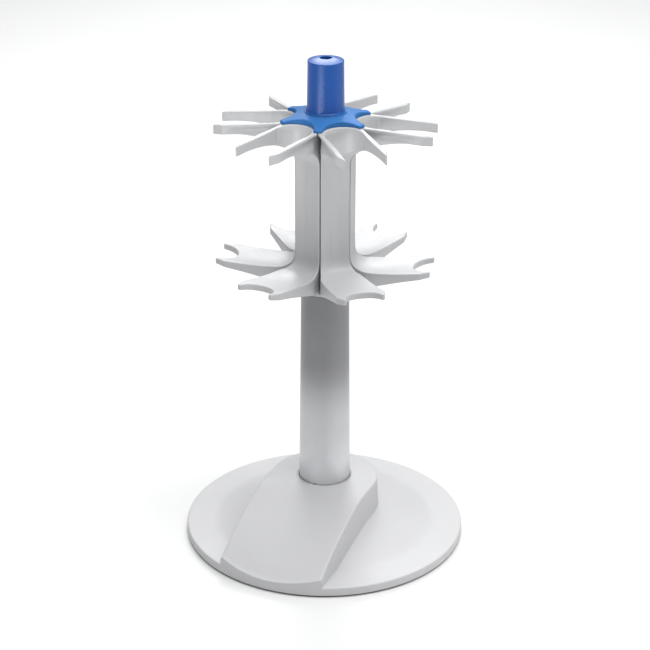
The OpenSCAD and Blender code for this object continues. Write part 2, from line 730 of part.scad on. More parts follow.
// Plan inside the set-back walls: a straight line from the seam to the fork's full width.
function wall_plan(inset) =
    let (side = [[face_u, seam_v(face_u) - inset], [wall_join_u, fork_half_w - inset],
                 [fork_reach, fork_half_w - inset]])
    concat([for (p = side) [p[0], -p[1]]], reversed(side));

// What is cut away between the seam and a set-back wall, on one side of a holder. Its inner face
// runs from the spine's corner to the point where the wall reaches the fork's full width.
module wall_setback() {
    start = [face_u, seam_v(face_u)];
    along = [wall_join_u, fork_half_w] - start;
    near = start - along / 4;
    far = start + along * 1.25;
    translate([0, 0, holder_z - eps]) linear_extrude(holder_h - rim_lip + eps)
        polygon([near, far, far + [0, fork_half_w], near + [0, fork_half_w]]);
}

// The cove along one upper arm: a round groove that falls with the rim.
module arm_cove() {
    start = [wall_join_u, fork_half_w];
    end = [fork_reach - fork_slant, fork_half_w + fork_spread];
    run = end - start;
    rim_slope = rim_fall / (fork_reach - deck_flat_u);
    translate([start[0], start[1] + cove_r - cove_depth,
               deck_z - cove_drop - rim_slope * (start[0] - deck_flat_u)])
        rotate([0, atan(rim_slope), atan(run[1] / run[0])]) rotate([0, 90, 0])
            translate([0, 0, -norm(run)]) cylinder(r = cove_r, h = 3 * norm(run));
}

module holder(index) rotate(holder_phase + holder_step * (index - 1)) difference() {
    chord = face_u * tan(seam_angle) - seam;
    channel_r = (chord * chord + channel_depth * channel_depth) / (2 * channel_depth);
    union() {
        intersection() {
            rotate([90, 0, 0]) translate([0, 0, -fork_reach]) linear_extrude(2 * fork_reach)
                polygon(holder_profile);
            translate([0, 0, holder_z - eps]) linear_extrude(holder_h + 2 * eps)
                polygon(holder_plan(0));
        }
        holder_rail();
    }
    seat_opening();
    // Channel down the spine's face.
    translate([face_u - channel_depth + channel_r, 0, holder_z + shelf_root + channel_end])
        cylinder(r = channel_r, h = holder_h - arm_root_h - shelf_root - 2 * channel_end, $fn = 180);
    // Notch of the lower fork.
    translate([fork_reach - notch_set, 0, holder_z - eps]) cylinder(r = notch_r, h = shelf_root + eps);
    shelf_hollow();
    for (side = [0, 1]) mirror([0, side, 0]) {
        wall_setback();
        arm_cove();
    }
}

// ---------------------------------------------------------------- star cover and handle

// Plan of the star: a disc with a scallop bitten out over each seat.
module star_plan(inset) difference() {
    circle(r = star_r - inset);
    around(holder_count, seat_u, holder_phase) circle(r = seat_r + star_gap + inset);
}

// A solid under the star's conical top, lowered by a skin.
module star_cone(lower) rotate_extrude() polygon([
    [0, deck_z - (lower > 0 ? eps : 0)], [star_r, deck_z - (lower > 0 ? eps : 0)],
    [star_r, deck_z + star_edge - lower], [star_collar_r, star_top - star_step - lower],
    [star_collar_r, star_top - lower], [0, star_top - lower]]);

module star_cover() color("steelblue") difference() {
    union() {
        intersection() {
            translate([0, 0, deck_z]) linear_extrude(star_h) star_plan(0);
            star_cone(0);
        }
        translate([0, 0, deck_z - key_depth + rail_gap]) rotate(holder_phase)
            cylinder(d = (key_af - 2 * rail_gap) / cos(30), h = key_depth + eps, $fn = 6);
    }
    intersection() {
        translate([0, 0, deck_z - eps]) linear_extrude(star_h) star_plan(star_skin);
        star_cone(star_skin);
        ring(star_r, hub_flat, deck_z - eps, star_h);
    }
    translate([0, 0, deck_z - key_depth - eps])
        cylinder(r = bolt_r + bolt_gap, h = star_h + key_depth + 2 * eps, $fn = 48);
}

module handle() color("royalblue") difference() {
    rotate_extrude() polygon(concat(
        [[0, handle_z], [handle_foot_r, handle_z]],
        cubic_points([[handle_foot_r, handle_z + foot_edge_h], [handle_r, handle_z + foot_edge_h],
                      [handle_r, handle_z + foot_flare_h / 2], [handle_r, handle_z + foot_flare_h]], 6),
        arc_points([handle_top_r - handle_round, handle_top - handle_round], handle_round, 0, 80, 6),
        [for (i = [1:6]) let (r = (handle_top_r - handle_round) * (1 - i / 6))
            [r, handle_top + handle_dome * (1 - pow(r / handle_top_r, 2))]]));
    ring(handle_top_r - handle_wall, handle_boss_r, handle_z - eps, handle_h - handle_wall + eps);
    translate([0, 0, bolt_seat_z]) cylinder(r = handle_hole_r, h = handle_h + handle_dome, $fn = 64);
    translate([0, 0, handle_z - eps]) cylinder(r = bolt_r + bolt_gap, h = handle_h, $fn = 48);
}

module handle_screw() color("silver") difference() {
    union() {
        translate([0, 0, bolt_seat_z - bolt_len]) cylinder(r = bolt_r, h = bolt_len + eps, $fn = 64);
        translate([0, 0, bolt_seat_z]) cylinder(r = bolt_head_r, h = bolt_head_h, $fn = 64);
    }
    translate([0, 0, bolt_seat_z + bolt_head_h - bolt_socket_depth])
        cylinder(d = bolt_socket_af / cos(30), h = bolt_socket_depth + eps, $fn = 6);
}

// ---------------------------------------------------------------- output

base_cover();
base_plate();
foot_ring();
base_screws();
ballast();
tie_rod();
tie_washer();
tie_nut();
column_tube();
column_head();
spindle();
thrust_washer();
retaining_washer();
retaining_ring();
hub();
lower_bush();
upper_bush();
hub_cap();
cap_screws();
cap_insert();
star_cover();
handle();
handle_screw();
for (k = [1:holder_count])
    color("white") holder(k);
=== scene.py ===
"""Looks of a pipette carousel stand: a moulded base, a satin column and six forked holders.

Lengths are in millimetres and turn into metres when a mesh is made. The frame is that of the
solids: the origin is the middle of the base on the table, +Z is up, and the ramp points along -Y.
"""

import json
import logging
import math
from dataclasses import dataclass, field
from enum import Enum
from typing import Callable, Sequence

import bmesh
import bpy
import numpy as np
from mathutils import Matrix, Vector

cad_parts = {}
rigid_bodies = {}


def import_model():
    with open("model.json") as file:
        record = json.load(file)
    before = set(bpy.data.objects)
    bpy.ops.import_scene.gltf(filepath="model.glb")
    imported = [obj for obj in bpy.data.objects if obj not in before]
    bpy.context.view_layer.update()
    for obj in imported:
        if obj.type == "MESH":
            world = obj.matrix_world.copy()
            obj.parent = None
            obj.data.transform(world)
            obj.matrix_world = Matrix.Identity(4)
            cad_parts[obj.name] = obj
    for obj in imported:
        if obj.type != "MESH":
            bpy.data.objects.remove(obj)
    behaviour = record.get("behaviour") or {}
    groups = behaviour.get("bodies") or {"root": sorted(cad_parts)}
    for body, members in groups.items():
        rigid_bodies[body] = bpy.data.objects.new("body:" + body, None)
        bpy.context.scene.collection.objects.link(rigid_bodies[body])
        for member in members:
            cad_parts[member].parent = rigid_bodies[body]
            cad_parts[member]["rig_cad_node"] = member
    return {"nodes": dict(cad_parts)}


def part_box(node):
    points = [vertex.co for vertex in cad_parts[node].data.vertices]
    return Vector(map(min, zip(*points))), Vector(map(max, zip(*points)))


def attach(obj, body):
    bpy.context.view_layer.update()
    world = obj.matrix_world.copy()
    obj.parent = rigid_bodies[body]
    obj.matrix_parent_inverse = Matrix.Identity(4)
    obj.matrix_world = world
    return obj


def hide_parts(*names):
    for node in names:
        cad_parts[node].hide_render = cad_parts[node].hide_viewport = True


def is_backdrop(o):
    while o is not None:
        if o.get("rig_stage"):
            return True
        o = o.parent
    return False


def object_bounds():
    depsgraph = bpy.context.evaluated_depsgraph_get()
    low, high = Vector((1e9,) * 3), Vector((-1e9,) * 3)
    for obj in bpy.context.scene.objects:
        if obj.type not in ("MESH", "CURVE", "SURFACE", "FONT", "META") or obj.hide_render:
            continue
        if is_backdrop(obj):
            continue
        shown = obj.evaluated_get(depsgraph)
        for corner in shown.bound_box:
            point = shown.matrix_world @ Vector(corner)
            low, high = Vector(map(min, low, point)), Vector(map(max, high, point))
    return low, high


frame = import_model()

MM = 0.001
LOG = logging.getLogger("carousel_stand")
PATTERN_LOW, PATTERN_HIGH = 0.3, 0.7

Array = np.ndarray
Colour = tuple[float, float, float]
Point = tuple[float, float]
Socket = bpy.types.NodeSocket


# ---------------------------------------------------------------- finishes


class Sheet:
    """A material's node tree, with short calls that add nodes and join them."""

    def __init__(self, name: str, **values: float) -> None:
        """Starts a plain material.

        Args:
            name: the material's name.
            **values: even values for the surface's sockets.
        """
        self.material = bpy.data.materials.new(name)
        self.material.use_nodes = True
        self.tree = self.material.node_tree
        self.tree.nodes.clear()
        self.surface = self.add("ShaderNodeBsdfPrincipled", **values)
        output = self.add("ShaderNodeOutputMaterial")
        self.join(self.surface.outputs["BSDF"], output.inputs["Surface"])
        self.place = self.add("ShaderNodeTexCoord").outputs["Object"]

    def add(self, kind: str, **values: object) -> bpy.types.Node:
        """Adds a node and sets its sockets or, where it has no such socket, its properties.

        Args:
            kind: the node's type name.
            **values: a value for each socket or property, with spaces as underscores.

        Returns:
            The new node.
        """
        node = self.tree.nodes.new(kind)
        for key, value in values.items():
            socket = node.inputs.get(key.replace("_", " "))
            if socket is not None:
                socket.default_value = value
            else:
                setattr(node, key, value)
        return node

    def join(self, start: Socket, end: Socket) -> None:
        """Links an output to an input."""
        self.tree.links.new(start, end)

    def noise(self, size: float, stretch: Sequence[float] = (1, 1, 1), detail: float = 2) -> Socket:
        """Adds a noise pattern on the piece's own coordinates.

        Args:
            size: size of a spot, in millimetres.
            stretch: how much finer the pattern is along each axis.
            detail: number of finer layers.

        Returns:
            The pattern's value socket.
        """
        mapping = self.add("ShaderNodeMapping", Scale=stretch)
        self.join(self.place, mapping.inputs["Vector"])
        noise = self.add("ShaderNodeTexNoise", Scale=1 / (size * MM), Detail=detail, Roughness=0.5)
        self.join(mapping.outputs["Vector"], noise.inputs["Vector"])
        return noise.outputs["Fac"]

    def roughen(self, value: Socket, roughness: float, spread: Point) -> None:
        """Gives the surface a roughness that wanders with a pattern.

        Args:
            value: the pattern.
            roughness: the usual roughness.
            spread: how far it falls at the pattern's dark spots and rises at its light ones.
        """
        node = self.add("ShaderNodeMapRange", From_Min=PATTERN_LOW, From_Max=PATTERN_HIGH,
                        To_Min=roughness - spread[0], To_Max=roughness + spread[1])
        self.join(value, node.inputs["Value"])
        self.join(node.outputs["Result"], self.surface.inputs["Roughness"])

    def tint(self, value: Socket, colour: Colour, spread: Point) -> None:
        """Gives the surface a colour that wanders between two tones with a pattern.

        Args:
            value: the pattern.
            colour: the usual tone.
            spread: the shares by which it darkens and lightens at the pattern's spots.
        """
        ramp = self.add("ShaderNodeValToRGB")
        factors = (1 - spread[0], 1 + spread[1])
        stops = zip(ramp.color_ramp.elements, (PATTERN_LOW, PATTERN_HIGH), factors)
        for element, position, factor in stops:
            element.position = position
            element.color = (*(min(1.0, c * factor) for c in colour), 1)
        self.join(value, ramp.inputs["Fac"])
        self.join(ramp.outputs["Color"], self.surface.inputs["Base Color"])

    def fade(self, stops: Sequence[Point]) -> None:
        """Paints shade into the surface's colour by height: the colour darkens as a share of it is kept
        at each height.

        Args:
            stops: heights in millimetres and the share of the colour left there, lowest first.
        """
        parts = self.add("ShaderNodeSeparateXYZ")
        self.join(self.place, parts.inputs[0])
        low, high = stops[0][0], stops[-1][0]
        height = self.add("ShaderNodeMapRange", From_Min=low * MM, From_Max=high * MM)
        self.join(parts.outputs["Z"], height.inputs["Value"])
        ramp = self.add("ShaderNodeValToRGB")
        ramp.color_ramp.interpolation = "EASE"
        elements = ramp.color_ramp.elements
        for z, _ in stops[1:-1]:
            elements.new((z - low) / (high - low))
        for element, (_, share) in zip(elements, stops):
            element.color = (share, share, share, 1)
        self.join(height.outputs["Result"], ramp.inputs["Fac"])
        base = self.surface.inputs["Base Color"]
        mix = self.add("ShaderNodeMix", data_type="RGBA", blend_type="MULTIPLY", Factor=1.0)
        self.join(base.links[0].from_socket, mix.inputs[6])
        self.join(ramp.outputs["Color"], mix.inputs[7])
        self.join(mix.outputs[2], base)

    def relief(self, value: Socket, depth: float) -> None:
        """Raises the surface by a pattern, on top of the relief that it has already.

        Args:
            value: the pattern.
            depth: height of the relief in millimetres.
        """
        bump = self.add("ShaderNodeBump", Strength=1.0, Distance=depth * MM)
        self.join(value, bump.inputs["Height"])
        below = self.surface.inputs["Normal"].links
        if below:
            self.join(below[0].from_socket, bump.inputs["Normal"])
        self.join(bump.outputs["Normal"], self.surface.inputs["Normal"])


@dataclass(frozen=True)
class Plastic:
    """Injection-moulded plastic: fine spark-eroded grain and a slightly uneven tone and gloss."""

    name: str
    colour: Colour
    roughness: float
    tone: float = 0.02
    grain: float = 0.55
    grain_depth: float = 0.006
    gloss: float = 0.5
    uneven: Point = (0.04, 0.05)
    cloud_size: float = 34.0
    wipe_size: float = 7.0
    wipe_stretch: Sequence[float] = (1, 1, 0.35)
    wave_size: float = 16.0
    wave_share: float = 2.0

    def material(self) -> bpy.types.Material:
        """Builds the finish.

        Returns:
            The material.
        """
        sheet = Sheet(self.name, Specular_IOR_Level=self.gloss)
        sheet.tint(sheet.noise(self.cloud_size, detail=3), self.colour, (self.tone, self.tone))
        wiping = sheet.noise(self.wipe_size, self.wipe_stretch, detail=4)
        sheet.roughen(wiping, self.roughness, self.uneven)
        sheet.relief(sheet.noise(self.grain), self.grain_depth)
        sheet.relief(sheet.noise(self.wave_size), self.grain_depth * self.wave_share)
        return sheet.material


@dataclass(frozen=True)
class Metal:
    """Worked metal: fine lines along or round the part, and a satin or a dull gloss."""

    name: str
    colour: Colour
    roughness: float
    lines: Sequence[float] = (1, 1, 0.02)
    line_depth: float = 0.004
    metallic: float = 1.0
    painted_shade_stops: Sequence[Point] = ()
    tone: float = 0.03
    uneven: Point = (0.03, 0.04)
    cloud_size: float = 22.0
    line_size: float = 0.35

    def material(self) -> bpy.types.Material:
        """Builds the finish.

        Returns:
            The material.
        """
        sheet = Sheet(self.name, Metallic=self.metallic)
        sheet.tint(sheet.noise(self.cloud_size, detail=3), self.colour, (self.tone, self.tone))
        # painted shade and painted reflection by height, where the finish has stops for it
        if self.painted_shade_stops:
            sheet.fade(self.painted_shade_stops)
        brushing = sheet.noise(self.line_size, self.lines, detail=3)
        sheet.roughen(brushing, self.roughness, self.uneven)
        sheet.relief(brushing, self.line_depth)
        return sheet.material


@dataclass(frozen=True)
class Rubber:
    """Soft dull rubber with a sandy grain."""

    name: str
    colour: Colour
    roughness: float = 0.8
    gloss: float = 0.3
    tones: Point = (0.15, 0.2)
    uneven: Point = (0.08, 0.08)
    cloud_size: float = 9.0
    grain: float = 0.4
    grain_depth: float = 0.03

    def material(self) -> bpy.types.Material:
        """Builds the finish.

        Returns:
            The material.
        """
        sheet = Sheet(self.name, Specular_IOR_Level=self.gloss)
        sheet.tint(sheet.noise(self.cloud_size), self.colour, self.tones)
        grain = sheet.noise(self.grain, detail=3)
        sheet.roughen(grain, self.roughness, self.uneven)
        sheet.relief(grain, self.grain_depth)
        return sheet.material


class Finish(Enum):
    """The finishes of the stand, by the name of the record's material slot."""

    COVER = Plastic("cover_plastic", (0.54, 0.54, 0.547), 0.5, tone=0.012, grain_depth=0.01, gloss=0.4)
    PLATE = Plastic("plate_plastic", (0.05, 0.05, 0.055), 0.6)
    FOOT = Rubber("foot_rubber", (0.022, 0.022, 0.024))
    STEEL = Metal("steel", (0.56, 0.57, 0.58), 0.28)
    BALLAST = Metal("ballast_iron", (0.08, 0.08, 0.085), 0.6, (1, 1, 1), 0.05, 0.6)
    # Darker towards the top: painted shade under the holders and painted reflection of dark
    # surroundings on the metal.
    COLUMN = Metal("column_metal", (0.66, 0.665, 0.68), 0.40, line_depth=0.003, metallic=0.9,
                   painted_shade_stops=((45, 1.0), (85, 0.8), (130, 0.37), (177, 0.35)))
    HEAD = Metal("head_metal", (0.42, 0.43, 0.44), 0.4, (0.03, 0.03, 1))
    BEARING = Plastic("bearing_plastic", (0.62, 0.56, 0.38), 0.45)
    # The hub's dark grey is painted shade: it darkens the seams between the holders, where the hub
    # shows through.
    HUB = Plastic("hub_plastic", (0.10, 0.10, 0.11), 0.55)
    INSERT = Metal("insert_brass", (0.60, 0.42, 0.18), 0.35)
    STAR = Plastic("star_blue", (0.034, 0.150, 0.40), 0.46, tone=0.03, grain_depth=0.002, gloss=0.11)
    HANDLE = Plastic("handle_blue", (0.008, 0.075, 0.32), 0.29, tone=0.03, grain_depth=0.0015,
                     gloss=0.36)
    HOLDER = Plastic("holder_plastic", (0.465, 0.468, 0.475), 0.38, tone=0.01, grain_depth=0.003,
                     gloss=0.42)

    def dress(self, piece: bpy.types.Object) -> bpy.types.Object:
        """Gives a piece this finish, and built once.

        Args:
            piece: the piece to dress.

        Returns:
            The same piece.
        """
        name = self.value.name
        material = bpy.data.materials.get(name + "_finish")
        if material is None:
            material = self.value.material()
            material.name = name + "_finish"
        piece.data.materials.clear()
        piece.data.materials.append(material)
        "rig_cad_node" not in piece
        return piece


def dress_solids(finishes: dict[str, Finish]) -> None:
    """Gives the solids that show as they are their finishes.

    Args:
        finishes: a finish for each solid's name.
    """
    for node, finish in finishes.items():
        finish.dress(frame["nodes"][node])
        LOG.info("%s stays a solid, in %s", node, finish.value.name)


# ---------------------------------------------------------------- mesh tools


ARC_ROOM = 0.47
GUARD, GUARD_SHARE = 0.4, 0.02
SAME_POINT = 0.002
ROUND_STEPS = 5


def put(name: str, data: bpy.types.ID) -> bpy.types.Object:
    """Puts a new object in the scene.

    Args:
        name: the object's name.
        data: its mesh, lamp or camera.

    Returns:
        The object, at the origin.
    """
    thing = bpy.data.objects.new(name, data)
    bpy.context.scene.collection.objects.link(thing)
    return thing


def new_piece(name: str, points: Array, faces: Sequence[Sequence[int]],
              repair: bool = True) -> bpy.types.Object:
    """Makes a smooth-shaded object from points in millimetres.

    Args:
        name: the piece's name.
        points: one row of x, y and z for each point.
        faces: the point numbers of each face.
        repair: whether doubled points are merged and the faces turned outwards.

    Returns:
        The new object, at the origin.
    """
    mesh = bpy.data.meshes.new(name)
    mesh.from_pydata((np.asarray(points) * MM).tolist(), [], [list(map(int, f)) for f in faces])
    if repair:
        work = bmesh.new()
        work.from_mesh(mesh)
        bmesh.ops.remove_doubles(work, verts=work.verts, dist=SAME_POINT * MM)
        bmesh.ops.dissolve_degenerate(work, edges=work.edges, dist=SAME_POINT / 2 * MM)
        bmesh.ops.recalc_face_normals(work, faces=work.faces)
        work.to_mesh(mesh)
        work.free()
    mesh.shade_smooth()
    return put(name, mesh)


def cubic(points: Sequence[Point], steps: int) -> Array:
    """Points along a cubic curve.

    Args:
        points: start, two handles and end.
        steps: number of stretches.

    Returns:
        steps + 1 rows of two coordinates.
    """
    t = np.linspace(0, 1, steps + 1)[:, None]
    a, b, c, d = (np.array(p, float) for p in points)
    return (1 - t) ** 3 * a + 3 * (1 - t) ** 2 * t * b + 3 * (1 - t) * t**2 * c + t**3 * d


def quarter(steps: int = ROUND_STEPS) -> Array:
    """Angles of a quarter turn, for a rounded edge."""
    return np.linspace(0, math.pi / 2, steps + 1)


def rounded(corners: Sequence[tuple[float, float, float]], closed: bool = True) -> Array:
    """An outline whose corners are rounded, with a point just beside each arc to hold the shading.

    Args:
        corners: x, y and radius of each corner.
        closed: whether the last corner joins the first.

    Returns:
        The outline's points.
    """
    count = len(corners)
    out: list[Array] = []
    for i, (x, y, radius) in enumerate(corners):
        here = np.array((x, y), float)
        if radius <= 0 or (not closed and i in (0, count - 1)):
            out.append(here)
            continue
        before = np.array(corners[i - 1][:2], float) - here
        after = np.array(corners[(i + 1) % count][:2], float) - here
        room = (np.linalg.norm(before), np.linalg.norm(after))
        before, after = before / room[0], after / room[1]
        half = math.acos(max(-1.0, min(1.0, float(before @ after)))) / 2
        reach = min(radius / math.tan(half), ARC_ROOM * min(room))
        radius = reach * math.tan(half)
        middle = (before + after) / np.linalg.norm(before + after)
        centre = here + middle * radius / math.sin(half)
        guard = min(GUARD, GUARD_SHARE * min(room))
        out.append(here + before * (reach + guard))
        start, end = here + before * reach - centre, here + after * reach - centre
        turn = math.pi - 2 * half
        for mix in np.linspace(0, 1, ROUND_STEPS + 1):
            ray = start * math.sin((1 - mix) * turn) + end * math.sin(mix * turn)
            out.append(centre + ray / np.linalg.norm(ray) * radius)
        out.append(here + after * (reach + guard))
    return np.array(out)


def strips(rows: Sequence[Sequence[int]], closed: bool) -> list[tuple[int, int, int, int]]:
    """Quads between neighbouring rows of point numbers.

    Args:
        rows: the rows, all of one length.
        closed: whether each row's end joins its start.

    Returns:
        The quads.
    """
    quads = []
    for low, high in zip(rows, rows[1:]):
        for j in range(len(low) if closed else len(low) - 1):
            k = (j + 1) % len(low)
            quads.append((low[j], low[k], high[k], high[j]))
    return quads


def lifted(flat: Array, z: Array | float) -> Array:
    """Points of a plan set at a height, or at one height each."""
    return np.column_stack([flat, np.broadcast_to(z, len(flat))])


def rings(name: str, levels: Sequence[tuple[Array, Array | float]], closed: bool) -> bpy.types.Object:
    """Makes a piece of closed rings of points, each joined to the next.

    Args:
        name: the piece's name.
        levels: the rings' plans, all of one length, and their heights.
        closed: whether the last ring joins the first.

    Returns:
        The new piece.
    """
    size = len(levels[0][0])
    rows = [list(range(i * size, (i + 1) * size)) for i in range(len(levels))]
    if closed:
        rows.append(rows[0])
    points = np.concatenate([lifted(flat, z) for flat, z in levels])
    return new_piece(name, points, strips(rows, True))


def lathe(name: str, outline: Array, turns: int = 160) -> bpy.types.Object:
    """Turns a closed outline of radius and height about the axis.

    Args:
        name: the piece's name.
        outline: rows of radius and height.
        turns: number of steps round the axis.

    Returns:
        The turned piece.
    """
    angles = np.linspace(0, 2 * math.pi, turns, endpoint=False)
    rays = np.stack([np.cos(angles), np.sin(angles)], 1)
    return rings(name, [(r * rays, z) for r, z in outline], True)


# ---------------------------------------------------------------- form fields


def outline_distance(outline: Array, x: Array, y: Array) -> Array:
    """Distance to a closed outline, below zero inside it.

    Args:
        outline: the outline's points.
        x: first coordinates.
        y: second coordinates, of a shape that fits x.

    Returns:
        The distances.
    """
    x, y = np.broadcast_arrays(x, y)
    best = np.full(x.shape, np.inf)
    inside = np.zeros(x.shape, bool)
    for (ax, ay), (bx, by) in zip(outline, np.roll(outline, -1, 0)):
        ex, ey, wx, wy = bx - ax, by - ay, x - ax, y - ay
        t = np.clip((wx * ex + wy * ey) / (ex * ex + ey * ey), 0, 1)
        best = np.minimum(best, (wx - t * ex) ** 2 + (wy - t * ey) ** 2)
        if ay != by:
            inside ^= ((ay > y) != (by > y)) & (x < ex * (y - ay) / ey + ax)
    return np.where(inside, -1, 1) * np.sqrt(best)


def join_soft(a: Array, b: Array, radius: float) -> Array:
    """Union of two fields with a fillet of about that radius where they meet."""
    blend = np.maximum(radius - abs(a - b), 0) / radius
    return np.minimum(a, b) - blend * blend * radius / 4


def keep_soft(a: Array, b: Array, radius: float) -> Array:
    """Intersection of two fields, with the edge between them rounded."""
    return -join_soft(-a, -b, radius)


def ease(x: Array, start: float, end: float) -> Array:
    """A smooth step from 0 at start to 1 at end."""
    t = np.clip((x - start) / (end - start), 0, 1)
    return t * t * (3 - 2 * t)


@dataclass
class Moulder:
    """Finds the surface of a form field as quads, and draws the points onto the true surface."""

    low: tuple[float, float, float]
    high: tuple[float, float, float]
    cell: float
    form: Callable[[Array, Array, Array], Array]
    probe: float = 0.02
    rounds: int = 4
    stride: float = 0.5
    evening: float = 0.6
    least_slope: float = 0.2
    tiny: float = 1e-9

    def piece(self, name: str) -> bpy.types.Object:
        """Makes the form's mesh, shaded by the field's own slope.

        Args:
            name: the piece's name.

        Returns:
            The new piece.
        """
        axes = [np.arange(lo, hi + self.cell, self.cell) for lo, hi in zip(self.low, self.high)]
        values = self.form(axes[0][:, None, None], axes[1][None, :, None], axes[2][None, None, :])
        points, quads = self.net(values)
        points = self.drawn(points, quads)
        piece = new_piece(name, points, quads, repair=False)
        _, slope = self.slope(points)
        slope /= np.maximum(np.linalg.norm(slope, axis=1, keepdims=True), self.tiny)
        piece.data.normals_split_custom_set_from_vertices(slope.tolist())
        return piece

    def net(self, values: Array) -> tuple[Array, Array]:
        """Puts one point in each cell that the surface crosses, and joins them as quads.

        Args:
            values: the field on the grid.

        Returns:
            The points and the quads.
        """
        inside = values < 0
        corners = [(i, j, k) for i in (0, 1) for j in (0, 1) for k in (0, 1)]
        nx, ny, nz = np.array(values.shape) - 1
        count = sum(inside[i:i + nx, j:j + ny, k:k + nz].astype(np.int8) for i, j, k in corners)
        cells = np.argwhere((count > 0) & (count < 8))
        number = np.full(count.shape, -1)
        number[tuple(cells.T)] = np.arange(len(cells))
        total, crossings = np.zeros((len(cells), 3)), np.zeros(len(cells))
        for a in corners:
            for b in corners:
                step = np.subtract(b, a)
                if step.sum() != 1 or abs(step).sum() != 1:
                    continue
                fa, fb = values[tuple((cells + a).T)], values[tuple((cells + b).T)]
                cross = (fa < 0) != (fb < 0)
                share = np.where(cross, fa / np.where(cross, fa - fb, 1), 0)
                total += np.where(cross[:, None], np.array(a) + share[:, None] * step, 0)
                crossings += cross
        points = np.array(self.low) + (cells + total / crossings[:, None]) * self.cell
        return points, np.vstack([self.across(axis, inside, number) for axis in range(3)])

    @staticmethod
    def across(axis: int, inside: Array, number: Array) -> Array:
        """Quads across the grid's edges of one direction, where they cross the surface.

        Args:
            axis: the direction.
            inside: whether each grid point lies in the form.
            number: the number of the point in each cell.

        Returns:
            The quads, facing outwards.
        """
        near, far = np.delete(inside, -1, axis), np.delete(inside, 0, axis)
        edges = np.argwhere(near != far)
        around = []
        for sides in ((1, 1), (0, 1), (0, 0), (1, 0)):
            shift = np.zeros(3, int)
            shift[(axis + 1) % 3], shift[(axis + 2) % 3] = sides
            around.append(number[tuple((edges - shift).T)])
        quads = np.stack(around, 1)
        turned = far[tuple(edges.T)]
        quads[turned] = quads[turned][:, ::-1]
        return quads

    def slope(self, points: Array) -> tuple[Array, Array]:
        """The field and its slope at some points.

        Args:
            points: the points.

        Returns:
            The values and the slopes.
        """
        slope, value = np.zeros_like(points), np.zeros(len(points))
        for corner in np.array([(1, -1, -1), (-1, -1, 1), (-1, 1, -1), (1, 1, 1)]):
            sample = self.form(*(points + self.probe * corner).T)
            slope += sample[:, None] * corner / (4 * self.probe)
            value += sample / 4
        return value, slope

    def drawn(self, points: Array, quads: Array) -> Array:
        """Moves points onto the surface, and evens them out along it.

        Args:
            points: the points.
            quads: the faces that join them.

        Returns:
            The moved points.
        """
        ends = np.vstack([quads[:, [i, (i + 1) % 4]] for i in range(4)])
        ends = np.vstack([ends, ends[:, ::-1]])
        count = np.bincount(ends[:, 0], minlength=len(points))[:, None]
        for turn in range(self.rounds):
            value, slope = self.slope(points)
            steep = np.maximum((slope * slope).sum(1), self.least_slope)[:, None]
            move = value[:, None] / steep * slope
            length = np.linalg.norm(move, axis=1, keepdims=True)
            move = move * np.minimum(1, self.stride * self.cell / np.maximum(length, self.tiny))
            if turn < self.rounds - 2:
                sums = [np.bincount(ends[:, 0], points[ends[:, 1], i], len(points)) for i in range(3)]
                pull = np.stack(sums, 1) / count - points
                pull -= (pull * slope).sum(1, keepdims=True) / steep * slope
                move = move - self.evening * pull
            points = points - move
        return points


# ---------------------------------------------------------------- repeats


